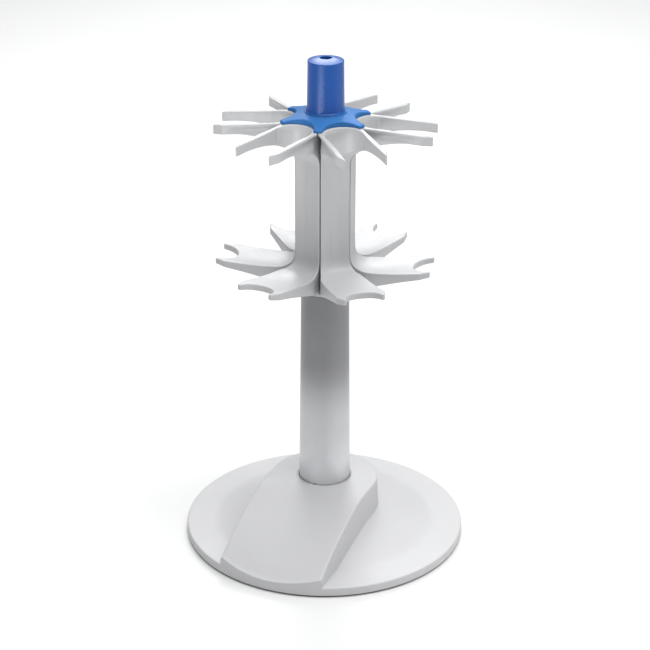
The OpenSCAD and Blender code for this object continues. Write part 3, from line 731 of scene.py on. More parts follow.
class AroundAxis:
    """A Geometry Nodes tree that sets copies of a part round the stand's axis."""

    KINDS = {
        "given": "NodeGroupInput", "result": "NodeGroupOutput", "points": "GeometryNodePoints",
        "move": "GeometryNodeSetPosition", "index": "GeometryNodeInputIndex",
        "turn": "ShaderNodeMath", "sine": "ShaderNodeMath", "cosine": "ShaderNodeMath",
        "ray": "ShaderNodeCombineXYZ", "spin": "ShaderNodeCombineXYZ",
        "scale": "ShaderNodeVectorMath", "copies": "GeometryNodeInstanceOnPoints",
        "realize": "GeometryNodeRealizeInstances", "dress": "GeometryNodeSetMaterial"}
    OPERATIONS = {"turn": "MULTIPLY_ADD", "sine": "SINE", "cosine": "COSINE", "scale": "SCALE"}
    LINKS = (
        ("index", 0, "turn", 0), ("given", "Step", "turn", 1), ("given", "First", "turn", 2),
        ("turn", 0, "sine", 0), ("turn", 0, "cosine", 0), ("turn", 0, "spin", "Z"),
        ("cosine", 0, "ray", "X"), ("sine", 0, "ray", "Y"), ("ray", 0, "scale", 0),
        ("given", "Radius", "scale", "Scale"), ("given", "Count", "points", "Count"),
        ("points", 0, "move", "Geometry"), ("scale", 0, "move", "Position"),
        ("move", 0, "copies", "Points"), ("given", "Part", "copies", "Instance"),
        ("spin", 0, "copies", "Rotation"), ("copies", 0, "realize", 0),
        ("realize", 0, "dress", "Geometry"), ("given", "Material", "dress", "Material"),
        ("dress", 0, "result", 0))

    def __init__(self) -> None:
        """Builds the tree and keeps the identifiers of its inputs."""
        self.tree = bpy.data.node_groups.new("around_axis", "GeometryNodeTree")
        face = self.tree.interface
        face.new_socket("Part", in_out="INPUT", socket_type="NodeSocketGeometry")
        self.sockets = {
            name: face.new_socket(name, in_out="INPUT", socket_type=kind).identifier
            for name, kind in (
                ("Count", "NodeSocketInt"), ("Radius", "NodeSocketFloat"),
                ("First", "NodeSocketFloat"), ("Step", "NodeSocketFloat"),
                ("Material", "NodeSocketMaterial"))}
        face.new_socket("Copies", in_out="OUTPUT", socket_type="NodeSocketGeometry")
        nodes = {name: self.tree.nodes.new(kind) for name, kind in self.KINDS.items()}
        for name, operation in self.OPERATIONS.items():
            nodes[name].operation = operation
        for start, output, end, entry in self.LINKS:
            self.tree.links.new(nodes[start].outputs[output], nodes[end].inputs[entry])

    def copies(self, part: bpy.types.Object, name: str, finish: Finish, count: int = 1,
               radius: float = 0.0, first: float = 0.0) -> bpy.types.Object:
        """Makes a plain mesh with copies of a part at even steps.

        Args:
            part: the part, drawn along +X at the origin, already in its finish.
            name: the new piece's name.
            finish: the finish that the copies get.
            count: number of copies.
            radius: distance of the copies from the axis, in millimetres.
            first: direction of the first copy, in degrees.

        Returns:
            The new piece.
        """
        modifier = part.modifiers.new("around_axis", "NODES")
        modifier.node_group = self.tree
        values = {"Count": count, "Radius": radius * MM, "First": math.radians(first),
                  "Step": 2 * math.pi / count, "Material": part.data.materials[0]}
        for key, value in values.items():
            modifier[self.sockets[key]] = value
        bpy.context.view_layer.update()
        evaluated = part.evaluated_get(bpy.context.evaluated_depsgraph_get())
        mesh = bpy.data.meshes.new_from_object(evaluated)
        part.modifiers.remove(modifier)
        mesh.name = name
        return finish.dress(put(name, mesh))


class Body(Enum):
    """The two bodies of the stand."""

    STAND = "stand"
    CAROUSEL = "carousel"


def carry(piece: bpy.types.Object, body: Body, *nodes: str) -> None:
    """Lets a piece ride on its body, stand for its solids, and be reported.

    Args:
        piece: the finished piece.
        body: the body that carries it.
        *nodes: names of the solids that it replaces.
    """
    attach(piece, body.value)
    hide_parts(*nodes)
    LOG.info("%s rides on %s, %d faces", piece.name, body.value, len(piece.data.polygons))


# ---------------------------------------------------------------- base


@dataclass(frozen=True)
class Cut:
    """The plan of one cut through half of the cover, from the column's hole to the rim.

    Behind the ramp, at share 0, the cuts turn about the axis. Along the ramp's side they move
    forwards and bend, and at share 1 they follow the rim's curve.
    """

    half: float
    rim_r: float
    angle: float
    share: float

    @property
    def front(self) -> float:
        """How far in front of the axis the ramp's side meets the rim."""
        return math.sqrt(self.rim_r**2 - self.half**2)

    def bend(self, x: Array) -> Array:
        """How far the cut bends forwards at a distance to the side."""
        return self.share**2 * (np.sqrt(self.rim_r**2 - x**2) - self.front)

    def point(self, away: Array) -> Array:
        """Points of the plan at distances outwards from the ramp's edge.

        Args:
            away: one distance or more.

        Returns:
            The points' two coordinates.
        """
        x = self.half + away
        flat = np.multiply.outer(x, (math.cos(self.angle), math.sin(self.angle)))
        flat[..., 1] -= self.share * self.front + self.bend(x)
        return flat


@dataclass
class Shell:
    """Points and quads of a piece, gathered row by row."""

    points: list[Array] = field(default_factory=list)
    quads: list[tuple[int, int, int, int]] = field(default_factory=list)
    size: int = 0

    def add(self, points: Array) -> list[int]:
        """Adds a row of points.

        Args:
            points: the points.

        Returns:
            Their numbers.
        """
        self.points.append(points)
        self.size += len(points)
        return list(range(self.size - len(points), self.size))

    def at(self, numbers: Sequence[int]) -> Array:
        """Points by their numbers."""
        return np.concatenate(self.points)[numbers]

    def join(self, rows: Sequence[Sequence[int]]) -> None:
        """Joins neighbouring rows with quads."""
        self.quads += strips(rows, False)


@dataclass
class BaseScrew:
    """A screw of the base plate: a pan head with a cross recess, and a threaded shank."""

    head_r: float = 2.8
    head_z: float = 0.5
    head_h: float = 1.6
    head_round: float = 0.5
    crown: float = 0.12
    shank_r: float = 1.45
    shank_start: float = 1.0
    length: float = 8.0
    neck: float = 0.3
    pitch: float = 1.1
    thread: float = 0.16
    thread_start: Point = (3.2, 4.2)
    recess_r: float = 1.7
    recess_half: float = 0.42
    recess_depth: float = 1.1
    recess_taper: float = 0.5
    recess_round: float = 0.15
    margin: float = 0.3
    cell: float = 0.2

    def form(self, x: Array, y: Array, z: Array) -> Array:
        """The screw's form field.

        Args:
            x: first coordinates.
            y: second coordinates.
            z: heights.

        Returns:
            Values that are below zero inside the screw.
        """
        r, up = np.hypot(x, y), z - self.head_z
        crown = self.crown * (r / self.head_r) ** 2
        head = keep_soft(r - self.head_r, np.maximum(crown - up, up - self.head_h), self.head_round)
        wave = np.cos(2 * math.pi * z / self.pitch - np.arctan2(y, x)) * ease(z, *self.thread_start)
        shank = r - self.shank_r + self.thread * (1 - wave)
        ends = np.maximum(self.shank_start - up, up - self.head_h - self.length)
        far = self.recess_r - self.recess_taper * up
        arms = [np.maximum(abs(a) - self.recess_half, abs(b) - far) for a, b in ((x, y), (y, x))]
        cross = np.maximum(np.minimum(*arms), up - self.recess_depth)
        whole = join_soft(head, np.maximum(shank, ends), self.neck)
        return keep_soft(whole, -cross, self.recess_round)

    def piece(self) -> bpy.types.Object:
        """Moulds the screw at the axis.

        Returns:
            The screw's pattern.
        """
        side, end = self.head_r + self.margin, self.head_z + self.head_h + self.length + self.margin
        low, high = (-side, -side, self.head_z - self.margin), (side, side, end)
        return Moulder(low, high, self.cell, self.form).piece("screw_pattern")


@dataclass
class Base:
    """The round base: moulded cover with its ramp, plate, foot ring, ballast and screws."""

    radius: float = 93.3
    foot: float = 1.2
    foot_round: float = 0.3
    foot_guard: float = 0.8
    foot_bevel: float = 0.2
    edge_z: float = 6.9
    edge_round: float = 0.9
    border_z: float = 7.5
    border_r: float = 75.0
    rise_z: float = 18.2
    rise_start: float = 0.14
    ramp_half: float = 35.8
    ramp_top: float = 41.0
    ramp_line: Sequence[Point] = ((17, 41), (46, 34), (74, 23), (93.3, 7.6))
    ramp_steps: int = 60
    ramp_blend: float = 2.0
    ramp_round: float = 1.1
    ramp_root: float = 0.9
    inner_round: float = 0.3
    draft: float = 0.035
    crown_slope: float = 0.079
    column_r: float = 17.0
    hole_r: float = 17.35
    hole_share: float = 0.3
    sleeve_r: float = 20.0
    sleeve_z: float = 21.9
    mouth_h: float = 0.6
    wall: float = 2.4
    back_steps: int = 44
    side_steps: int = 46
    top_steps: int = 12
    top_ease: float = 1.35
    side_shares: Sequence[float] = (0.08, 0.35, 0.65, 0.92)
    slope_steps: int = 24
    touch: float = 1e-6
    screw_circle: float = 56.0
    screw_count: int = 6
    screw: BaseScrew = field(default_factory=BaseScrew)

    def build(self, around: AroundAxis) -> None:
        """Builds and dresses the base.

        Args:
            around: the tree that repeats parts round the axis.
        """
        carry(Finish.COVER.dress(self.cover()), Body.STAND, "base_cover")
        pattern = Finish.STEEL.dress(self.screw.piece())
        screws = around.copies(pattern, "base_screw_set", Finish.STEEL, self.screw_count,
                               self.screw_circle)
        bpy.data.objects.remove(pattern)
        carry(screws, Body.STAND, "base_screws")
        dress_solids({"base_plate": Finish.PLATE, "foot_ring": Finish.FOOT, "ballast": Finish.BALLAST})

    def rise(self, r: Array) -> Array:
        """Height of the round part.

        Args:
            r: distances from the axis.

        Returns:
            The heights.
        """
        share = np.maximum(0, (self.border_r - r) / (self.border_r - self.ramp_half))
        share = share**2 / (share + self.rise_start) * (1 + self.rise_start)
        out = np.clip((r - self.border_r) / (self.radius - self.border_r), 0, 1)
        slope = self.border_z + (self.rise_z - self.border_z) * share
        return slope - (self.border_z - self.edge_z) * out

    def ramp(self, x: Array, y: Array) -> Array:
        """Height of the ramp's top, which falls from the column to the front edge.

        Args:
            x: distances to the side.
            y: distances to the back.

        Returns:
            The heights.
        """
        line = cubic(self.ramp_line, self.ramp_steps)
        falling = np.interp(-y, line[:, 0], line[:, 1])
        crown = self.ramp_top - self.crown_slope * np.maximum(np.hypot(x, y) - self.column_r, 0)
        return join_soft(falling, crown, self.ramp_blend)

    def hole_end(self, cut: Cut, hole_r: float) -> Array:
        """Where a cut starts: on the column's hole, or on the ramp's middle in front of it.

        Args:
            cut: the cut.
            hole_r: radius of the hole.

        Returns:
            The point's two coordinates.
        """
        if cut.share < self.hole_share:
            turn = cut.angle - math.pi / 2 * cut.share / self.hole_share
            return hole_r * np.array((math.cos(turn), math.sin(turn)))
        ahead = (cut.share - self.hole_share) / (1 - self.hole_share)
        return np.array((0, -hole_r - (cut.rim_r - hole_r) * ahead))

    def row(self, cut: Cut, inset: float, hole_r: float) -> Array:
        """Points of the cover's skin along one cut.

        Args:
            cut: the cut.
            inset: how far the skin is drawn in from the outside.
            hole_r: radius of the hole for the column.

        Returns:
            Points over the ramp's top, its rounded edge, its side, its root and the slope.
        """
        over = self.inner_round if inset else self.ramp_round
        root = self.inner_round if inset else self.ramp_root
        inner, edge = self.hole_end(cut, hole_r), cut.point(-over)
        t = 1 - (1 - np.linspace(0, 1, self.top_steps + 1)[:-1, None]) ** self.top_ease
        flat = inner * (1 - t) + edge * t
        straight = cut.bend(inner[0]) * (1 - t) + cut.bend(edge[0]) * t
        flat[:, 1] -= cut.bend(flat[:, 0]) - straight[:, 0]
        parts = [lifted(flat, self.ramp(*flat.T))]
        top, low = self.ramp(*edge), self.rise(np.hypot(*cut.point(root)))
        lean = (top - low) * self.draft
        arc, shares = quarter(), np.array(self.side_shares)
        away = (over * (np.sin(arc) - 1), lean * shares, lean + root * (1 - np.cos(arc)))
        heights = (top + over * (np.cos(arc) - 1),
                   top - over + (low + root - top + over) * shares,
                   low + root * (1 - np.sin(arc)))
        parts += [lifted(cut.point(d), z) for d, z in zip(away, heights)]
        start = cut.point(lean + root)
        heading = cut.angle - math.acos((cut.half + lean + root) / cut.rim_r) * cut.share
        rim = cut.rim_r * np.array((math.cos(heading), math.sin(heading)))
        t = np.linspace(0, 1, self.slope_steps + 1)[1:, None]
        flat = start * (1 - t) + rim * t
        parts.append(lifted(flat, self.rise(np.hypot(*flat.T))))
        return np.concatenate(parts) - (0, 0, inset)

    def skin(self, shell: Shell, side: int, inset: float, hole_r: float) -> tuple[list[int], list[int]]:
        """Adds one half of a skin of the cover.

        Args:
            shell: the shell that gets the skin.
            side: 1 for the half on the side of +X, -1 for its mirror image.
            inset: how far the skin is drawn in from the outside.
            hole_r: radius of the hole for the column.

        Returns:
            The numbers of the points along the rim and the ramp's front, and round the hole.
        """
        half, rim_r = self.ramp_half - inset, self.radius - inset - self.edge_round
        turns = np.linspace(math.pi / 2, 0, self.back_steps + 1)[:-1]
        cuts = [Cut(half, rim_r, turn, 0) for turn in turns]
        cuts += [Cut(half, rim_r, 0, share) for share in np.linspace(0, 1, self.side_steps + 1)]
        rows = [shell.add(self.row(cut, inset, hole_r) * (side, 1, 1)) for cut in cuts]
        shell.join(rows)
        rim = [row[-1] for row in rows] + rows[-1][-2::-1]
        starts = [row[0] for row in rows]
        reach = np.hypot(*shell.at(starts)[:, :2].T)
        return rim, [number for number, r in zip(starts, reach) if r < hole_r + self.touch]

    def cover(self) -> bpy.types.Object:
        """Builds the cover as one shell: outer skin, side wall, inner skin and sleeve.

        Returns:
            The cover.
        """
        shell = Shell()
        arc, size, foot = quarter()[1:], self.edge_round, self.foot
        for side in (1, -1):
            rim, mouth = self.skin(shell, side, 0.0, self.hole_r)
            inner_rim, collar = self.skin(shell, side, self.wall, self.sleeve_r)
            outer, inner = shell.at(rim), shell.at(inner_rim)
            down = [self.pushed(outer, size * math.sin(a), outer[:, 2] - size * (1 - math.cos(a)))
                    for a in arc]
            down += [self.pushed(ring, size - bevel, z) for ring, bevel, z in (
                (outer, 0.0, foot + self.foot_guard), (outer, 0.0, foot + self.foot_round),
                (outer, self.foot_round, foot), (inner, self.foot_bevel, foot),
                (inner, 0.0, foot + self.foot_round), (inner, 0.0, inner[:, 2] - size))]
            shell.join([rim, *map(shell.add, down), inner_rim])
            lip, end = shell.at(mouth), shell.at(collar)
            sleeve = (self.pushed(lip, 0.0, lip[:, 2] - self.mouth_h),
                      self.pushed(lip, 0.0, self.sleeve_z), self.pushed(end, 0.0, self.sleeve_z))
            shell.join([mouth, *map(shell.add, sleeve), collar])
        return new_piece("cover_shell", np.concatenate(shell.points), shell.quads)

    @staticmethod
    def pushed(ring: Array, out: float, z: Array | float) -> Array:
        """A ring of points pushed away from the axis and set at another height.

        Args:
            ring: the points.
            out: how far they are pushed.
            z: the new height, or one for each point.

        Returns:
            The new points.
        """
        r = np.hypot(ring[:, 0], ring[:, 1])[:, None]
        return lifted(ring[:, :2] * (1 + out / r), z)


# ---------------------------------------------------------------- column


@dataclass
class Column:
    """The tapered satin column and the parts hidden in it."""

    foot_r: float = 17.0
    top_r: float = 15.7
    bore_r: float = 13.5
    ramp_z: float = 41.0
    top_z: float = 176.5
    edge_round: float = 0.4
    shoulder_round: float = 0.5
    turns: int = 192

    def build(self) -> None:
        """Builds and dresses the column."""
        low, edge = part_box("column_tube")[0].z / MM, self.edge_round
        outline = rounded([
            (self.bore_r, low, edge), (self.foot_r, low, edge), (self.foot_r, self.ramp_z, 0),
            (self.top_r, self.top_z, self.shoulder_round), (self.bore_r, self.top_z, edge)])
        tube = lathe("column_shaft", outline, self.turns)
        carry(Finish.COLUMN.dress(tube), Body.STAND, "column_tube")
        steel = ("spindle", "tie_rod", "tie_washer", "tie_nut", "retaining_washer", "retaining_ring")
        dress_solids({"column_head": Finish.HEAD, **dict.fromkeys(steel, Finish.STEEL),
                      "thrust_washer": Finish.BEARING})


# ---------------------------------------------------------------- carousel


@dataclass
class Holder:
    """One moulded holder: upper fork with its seat, troughed spine and curved lower fork."""

    back: float = 14.35
    face: float = 18.0
    reach: float = 69.3
    past: float = 3.0
    beyond: float = 20.0
    start: float = 5.0
    low_z: float = 180.5
    mid_z: float = 240.0
    deck_z: float = 291.6
    deck_flat: float = 24.2
    rim_fall: float = 3.6
    arm_tip: float = 6.5
    arm_root: float = 25.6
    arm_arch: Point = (18.0, 1.4)
    arm_arch_h: float = 8.5
    arm_steps: int = 20
    shelf_root: float = 26.5
    shelf_turn_h: float = 12.5
    shelf_turn: Point = (3.0, 2.2)
    shelf_crest: float = 14.0
    shelf_rise: float = 3.6
    shelf_tip: float = 4.0
    shelf_steps: int = 24
    belly: Sequence[Point] = ((52, 3.2), (34.6, 8))
    belly_steps: int = 14
    belly_gap: float = 0.3
    half: float = 14.6
    spread: float = 1.4
    slant: float = 6.4
    mouth: float = 12.7
    tip: float = 0.8
    wall: float = 2.9
    wall_join: float = 34.0
    wall_neck: float = 0.6
    wall_cheek: Point = (5, 1.55)
    wall_bends: Sequence[Point] = ((-6, -0.9), (0, -0.12), (6, 0.15))
    seat_u: float = 32.6
    seat_r: float = 12.2
    seat_flare: float = 0.6
    seat_lip: Point = (-3.5, 0.5)
    throat: float = 16.0
    throat_round: float = 1.2
    way_out: Point = (10, 1)
    notch_r: float = 11.3
    notch_u: float = 68.8
    seam: float = 0.5
    rim_lip: float = 2.2
    rim_step: Point = (-1.0, 0.8)
    trough: float = 1.9
    trough_rim: float = 0.8
    trough_end: Point = (262, 282)
    trough_thin: Point = (24, 60)
    trough_thinning: float = 0.6
    cove: float = 1.3
    cove_top: Point = (1.3, 3.4)
    cove_foot: Point = (4.5, 9.5)
    cove_low: Point = (252, 268)
    cove_start: Point = (22, 30)
    cove_end: Point = (50, 61)
    cells: int = 3
    cell_start: float = 8.0
    cell_end: float = 2.5
    cell_wall: float = 2.0
    cell_skin: float = 2.2
    rail_z: Point = (186.2, 287.85)
    rail_u: Point = (11.25, 12.45)
    rail_halves: Point = (2.45, 4.05)
    rail_sunk: float = 2.0
    rail_round: float = 0.5
    edge_round: float = 0.9
    bay_round: float = 1.0
    cell_round: float = 0.8
    room: Sequence[float] = (4.0, 1.2, 1.1)
    cell: float = 0.5
    lines: dict[str, Array] = field(default_factory=dict)

    def __post_init__(self) -> None:
        """Works out the outlines that the form is made of."""
        deck, low, face, far = self.deck_z, self.low_z, self.face, self.reach
        root, crest = low + self.shelf_root, low + self.shelf_crest
        tip_z, roof = crest + self.shelf_rise - self.shelf_tip, deck - self.arm_root
        end, beyond = far + self.past, far + self.beyond
        arm_end = deck - self.rim_fall - self.arm_tip
        arch = (face + self.arm_arch[0], deck - self.arm_tip + self.arm_arch[1])
        turn = (face + self.shelf_turn[0], crest - self.shelf_turn[1])
        arm = cubic(((face, roof), (face, roof + self.arm_arch_h), arch, (far, arm_end)),
                    self.arm_steps)
        shelf = cubic(((face, root), (face, root - self.shelf_turn_h), turn,
                       (far, crest + self.shelf_rise)), self.shelf_steps)
        belly = [(u, tip_z - drop) for u, drop in self.belly]
        under = cubic(((far, tip_z), *belly, (face, low)), self.belly_steps)
        fall = self.rim_fall / (far - self.deck_flat)
        wall = [(u, self.seam_v(u)) for u in (self.start, face - self.wall_neck)]
        wall.append((face + self.wall_cheek[0], self.seam_v(face) + self.wall_cheek[1]))
        wall += [(self.wall_join + along, self.half + out) for along, out in self.wall_bends]
        self.lines = {
            "shell": np.vstack([
                [(self.back, deck), (self.deck_flat, deck),
                 (end, deck - fall * (end - self.deck_flat)), (end, tip_z + self.belly_gap)],
                under, [(self.back, low)]]),
            "bay": np.vstack([shelf[::-1], arm, [(beyond, arm[-1, 1]), (beyond, shelf[-1, 1])]]),
            "rim": self.plan([wall[0], ((self.half + self.cut) / self.tan, self.half)]),
            "wall": self.plan(wall),
            "way": self.mirrored([
                (self.seat_u, self.seat_r - self.seat_flare),
                (self.seat_u + self.throat, self.half - self.wall), (far, self.mouth),
                (far + self.way_out[0], self.mouth + self.way_out[1])]),
            "shelf": shelf}

    @property
    def tan(self) -> float:
        """Slope of a seam from the holder's own direction."""
        return math.tan(math.radians(30))

    @property
    def cut(self) -> float:
        """Half the seam, measured across the holder."""
        return self.seam / 2 / math.cos(math.radians(30))

    def seam_v(self, u: float) -> float:
        """Half the width between the seams at a distance from the axis."""
        return u * self.tan - self.cut

    def plan(self, inner: list[Point]) -> Array:
        """An outline that starts with its own points and ends in the forks' slanting tips."""
        tip = [(self.reach - self.slant, self.half + self.spread), (self.reach, self.mouth + self.tip)]
        return self.mirrored(inner + tip)

    @staticmethod
    def mirrored(side: list[Point]) -> Array:
        """An outline from the points of one side and their mirror images."""
        return np.array([(u, -v) for u, v in side] + side[::-1])

    def form(self, u: Array, v: Array, z: Array) -> Array:
        """The holder's form field.

        Args:
            u: distances from the axis along the holder.
            v: distances to the side.
            z: heights.

        Returns:
            Values that are below zero inside the holder.
        """
        shell, bay = (outline_distance(self.lines[n], u, z) for n in ("shell", "bay"))
        rim, wall, way = (outline_distance(self.lines[n], u, abs(v)) for n in ("rim", "wall", "way"))
        half = np.minimum(self.half, u * self.tan - self.cut)
        across = np.clip(abs(v) / np.maximum(half - self.trough_rim, 1), 0, 1)
        trough = self.trough * (1 - across**2) * (1 - ease(z, *self.trough_end))
        trough = trough * (1 - self.trough_thinning * ease(u, *self.trough_thin))
        out = np.clip((u - self.deck_flat) / (self.reach - self.deck_flat), 0, 1)
        depth = self.deck_z - self.rim_fall * out - z
        cove = self.cove * ease(depth, *self.cove_top) * (1 - ease(depth, *self.cove_foot))
        cove = cove * ease(z, *self.cove_low) * (1 - ease(u, *self.cove_end))
        step = ease(depth - self.rim_lip, *self.rim_step)
        side = rim + (np.maximum(wall, rim) - rim) * step + cove * ease(u, *self.cove_start)
        body = keep_soft(shell, trough - bay, self.bay_round)
        body = keep_soft(body, side, self.edge_round)
        flare = self.seat_flare * (1 - ease(z - self.deck_z, *self.seat_lip))
        seat = np.hypot(u - self.seat_u, v) - self.seat_r + flare
        opening = np.maximum(join_soft(seat, way, self.throat_round), self.mid_z - z)
        body = keep_soft(body, -opening, self.edge_round)
        notch = np.maximum(np.hypot(u - self.notch_u, v) - self.notch_r, z - self.mid_z)
        body = keep_soft(body, -notch, self.bay_round)
        body = keep_soft(body, -self.hollows(u, v, z + trough), self.cell_round)
        return join_soft(body, self.rail(u, v, z), self.rail_round)

    def hollows(self, u: Array, v: Array, z: Array) -> Array:
        """Field of the cells that hollow out the shelf from below.

        Args:
            u: distances from the axis along the holder.
            v: distances to the side.
            z: heights.

        Returns:
            Values that are below zero inside a cell.
        """
        first, last = self.wall_join - self.cell_start, self.reach - self.notch_r - self.cell_end
        pitch = (last - first + self.cell_wall) / self.cells
        roof = np.interp(u, *self.lines["shelf"].T) - self.cell_skin
        sides = (self.seam_v(self.face), self.half)
        side = np.interp(u, (self.face, self.wall_join), sides) - self.cell_skin
        phase = (u - first) % pitch
        web = np.maximum(-phase, phase - (pitch - self.cell_wall))
        ends = np.maximum(first - u, u - last)
        return np.maximum(np.maximum(web, ends), np.maximum(abs(v) - side, z - roof))

    def rail(self, u: Array, v: Array, z: Array) -> Array:
        """Field of the T-shaped rail on the holder's back.

        Args:
            u: distances from the axis along the holder.
            v: distances to the side.
            z: heights.

        Returns:
            Values that are below zero inside the rail.
        """
        low, high = self.rail_z
        parts = [np.maximum(np.maximum(self.rail_u[0] - u, u - end), abs(v) - half)
                 for end, half in zip((self.back + self.rail_sunk, self.rail_u[1]), self.rail_halves)]
        return np.maximum(np.minimum(*parts), np.maximum(low - z, z - high))

    def piece(self) -> bpy.types.Object:
        """Moulds the holder, drawn along +X.

        Returns:
            The holder's pattern.
        """
        behind, beside, above = self.room
        side = self.half + self.spread + beside
        low = (self.back - behind, -side, self.low_z - above)
        high = (self.reach + beside, side, self.deck_z + above)
        return Moulder(low, high, self.cell, self.form).piece("holder_pattern")


@dataclass
class Star:
    """The blue star over the holders' seams: a cone with a scallop over each seat."""

    radius: float = 29.6
    scallop_r: float = 13.5
    scallop_u: float = 32.6
    points: int = 6
    low_z: float = 291.6
    edge: float = 1.6
    top_z: float = 297.0
    top_round: float = 0.15
    top_rs: Sequence[float] = (12.2, 6.6, 0.001)
    collar_r: float = 13.2
    collar_h: float = 0.9
    collar_root: float = 0.6
    collar_lead: Point = (0.3, 0.04)
    edge_round: float = 0.6
    edge_width: float = 1.8
    edge_guard: float = 0.1
    recess_h: float = 0.6
    recess_share: float = 0.35
    rim_width: float = 2.25
    foot_round: float = 0.25
    foot_guard: float = 0.4
    middle_share: float = 0.0005
    slope_shares: Sequence[float] = (0.04, 0.2, 0.45, 0.7, 0.9, 1.0)
    scallop_steps: int = 48
    tip_steps: int = 8
    edge_steps: int = 8
    softenings: int = 3
    softness: float = 0.25
    sharpness: float = 6.0
    phase: float = 14.25

    def outline(self) -> Array:
        """Plan of the star, with its tips rounded.

        Returns:
            The outline's points, in order round the axis.
        """
        far, scallop, tip_r = self.scallop_u, self.scallop_r, self.radius
        meet = math.acos((tip_r**2 + far**2 - scallop**2) / (2 * tip_r * far))
        side = math.atan2(tip_r * math.sin(meet), tip_r * math.cos(meet) - far)
        step = 2 * math.pi / self.points
        inner = np.linspace(2 * math.pi - side, side, self.scallop_steps + 1)
        tip = np.linspace(meet, step - meet, self.tip_steps + 1)[1:-1]
        along = np.concatenate([far + scallop * np.cos(inner), tip_r * np.cos(tip)])[:, None]
        across = np.concatenate([scallop * np.sin(inner), tip_r * np.sin(tip)])[:, None]
        arms = []
        for k in range(self.points):
            turn = math.radians(self.phase) + step * k
            cos, sin = math.cos(turn), math.sin(turn)
            arms.append(along * (cos, sin) + across * (-sin, cos))
        ring = np.concatenate(arms)
        for _ in range(self.softenings):
            pull = np.roll(ring, 1, 0) + np.roll(ring, -1, 0) - 2 * ring
            sharp = np.linalg.norm(pull, axis=1, keepdims=True) * self.sharpness
            ring = ring + pull * self.softness * np.clip(sharp, 0, 1)
        return ring

    def cone(self, flat: Array) -> Array:
        """Heights of the star's top at some points of the plan."""
        slope = (self.top_z - self.collar_h - self.low_z - self.edge) / (self.radius - self.collar_r)
        return self.low_z + self.edge + slope * (self.radius - np.hypot(flat[:, 0], flat[:, 1]))

    def piece(self) -> bpy.types.Object:
        """Builds the star as closed rings from the middle of its underside to that of its top.

        Returns:
            The star.
        """
        ring = self.outline()
        along = np.roll(ring, -1, 0) - np.roll(ring, 1, 0)
        inward = np.stack([-along[:, 1], along[:, 0]], 1)
        inward = inward / np.linalg.norm(along, axis=1, keepdims=True)
        size, wide = self.edge_round, self.edge_round * self.edge_width
        low = self.low_z
        levels = [
            (ring * self.middle_share, low + self.recess_h),
            (ring * self.recess_share, low + self.recess_h),
            (ring + inward * self.rim_width, low), (ring + inward * self.foot_round, low),
            (ring, low + self.foot_round), (ring, low + self.foot_guard),
            (ring, self.cone(ring) - size - self.edge_guard)]
        for a in quarter(self.edge_steps):
            flat = ring + inward * wide * (1 - math.cos(a))
            levels.append((flat, self.cone(flat) - size * (1 - math.sin(a))))
        start = ring + inward * wide
        ray = start / np.hypot(start[:, :1], start[:, 1:])
        root_r = self.collar_r + self.collar_root
        for share in self.slope_shares:
            flat = start * (1 - share) + ray * root_r * share
            levels.append((flat, self.cone(flat)))
        root_z = float(self.cone(ray[:1] * root_r)[0])
        out, up = self.collar_lead
        collar = rounded([
            (root_r + out, root_z, 0), (self.collar_r, root_z + up, self.collar_root),
            (self.collar_r, self.top_z, self.top_round), (self.top_rs[0], self.top_z, 0)],
            closed=False)
        levels += [(ray * r, z) for r, z in collar[1:]]
        levels += [(ray * r, self.top_z) for r in self.top_rs[1:]]
        return rings("star_shell", levels, False)


@dataclass
class Handle:
    """The blue handle with a flared foot, a domed top and a deep hole for its screw."""

    foot_z: float = 297.0
    side_h: float = 32.2
    dome: float = 1.9
    dome_rs: Sequence[float] = (10.6, 9.2, 7.6, 6.0)
    foot_r: float = 12.5
    foot_h: float = 0.45
    foot_round: float = 0.15
    flare_round: float = 0.2
    low_r: float = 11.8
    low_h: float = 0.9
    low_round: float = 2.0
    top_r: float = 11.4
    top_round: float = 0.55
    taper_ends: Point = (5, 4)
    taper_guard: float = 0.02
    hole_r: float = 3.65
    hole_round: float = 0.45
    seat_z: float = 305.0
    seat_round: float = 0.2
    shank_r: float = 2.25
    shank_round: float = 0.15
    boss_r: float = 6.0
    wall: float = 2.4
    wall_round: float = 0.3
    root_round: float = 0.6

    def piece(self) -> bpy.types.Object:
        """Turns the handle.

        Returns:
            The handle.
        """
        foot, top = self.foot_z, self.foot_z + self.side_h
        roof, bore = top - self.wall, self.top_r - self.wall
        low_end, top_start = foot + self.taper_ends[0], top - self.taper_ends[1]
        *dome, rim_z = (top + self.dome * (1 - (r / self.top_r) ** 2)
                        for r in (*self.dome_rs, self.hole_r))
        outline = rounded([
            (self.foot_r, foot, self.foot_round),
            (self.foot_r, foot + self.foot_h, self.flare_round),
            (self.low_r, foot + self.low_h, self.low_round),
            (self.low_r - self.taper_guard, low_end, 0),
            (self.top_r + self.taper_guard, top_start, 0), (self.top_r, top, self.top_round),
            *((r, z, 0.0) for r, z in zip(self.dome_rs, dome)),
            (self.hole_r, rim_z, self.hole_round), (self.hole_r, self.seat_z, self.seat_round),
            (self.shank_r, self.seat_z, self.shank_round), (self.shank_r, foot, self.seat_round),
            (self.boss_r, foot, self.wall_round), (self.boss_r, roof, self.root_round),
            (bore, roof, self.root_round), (bore, foot, self.wall_round)])
        return lathe("handle_grip", outline)


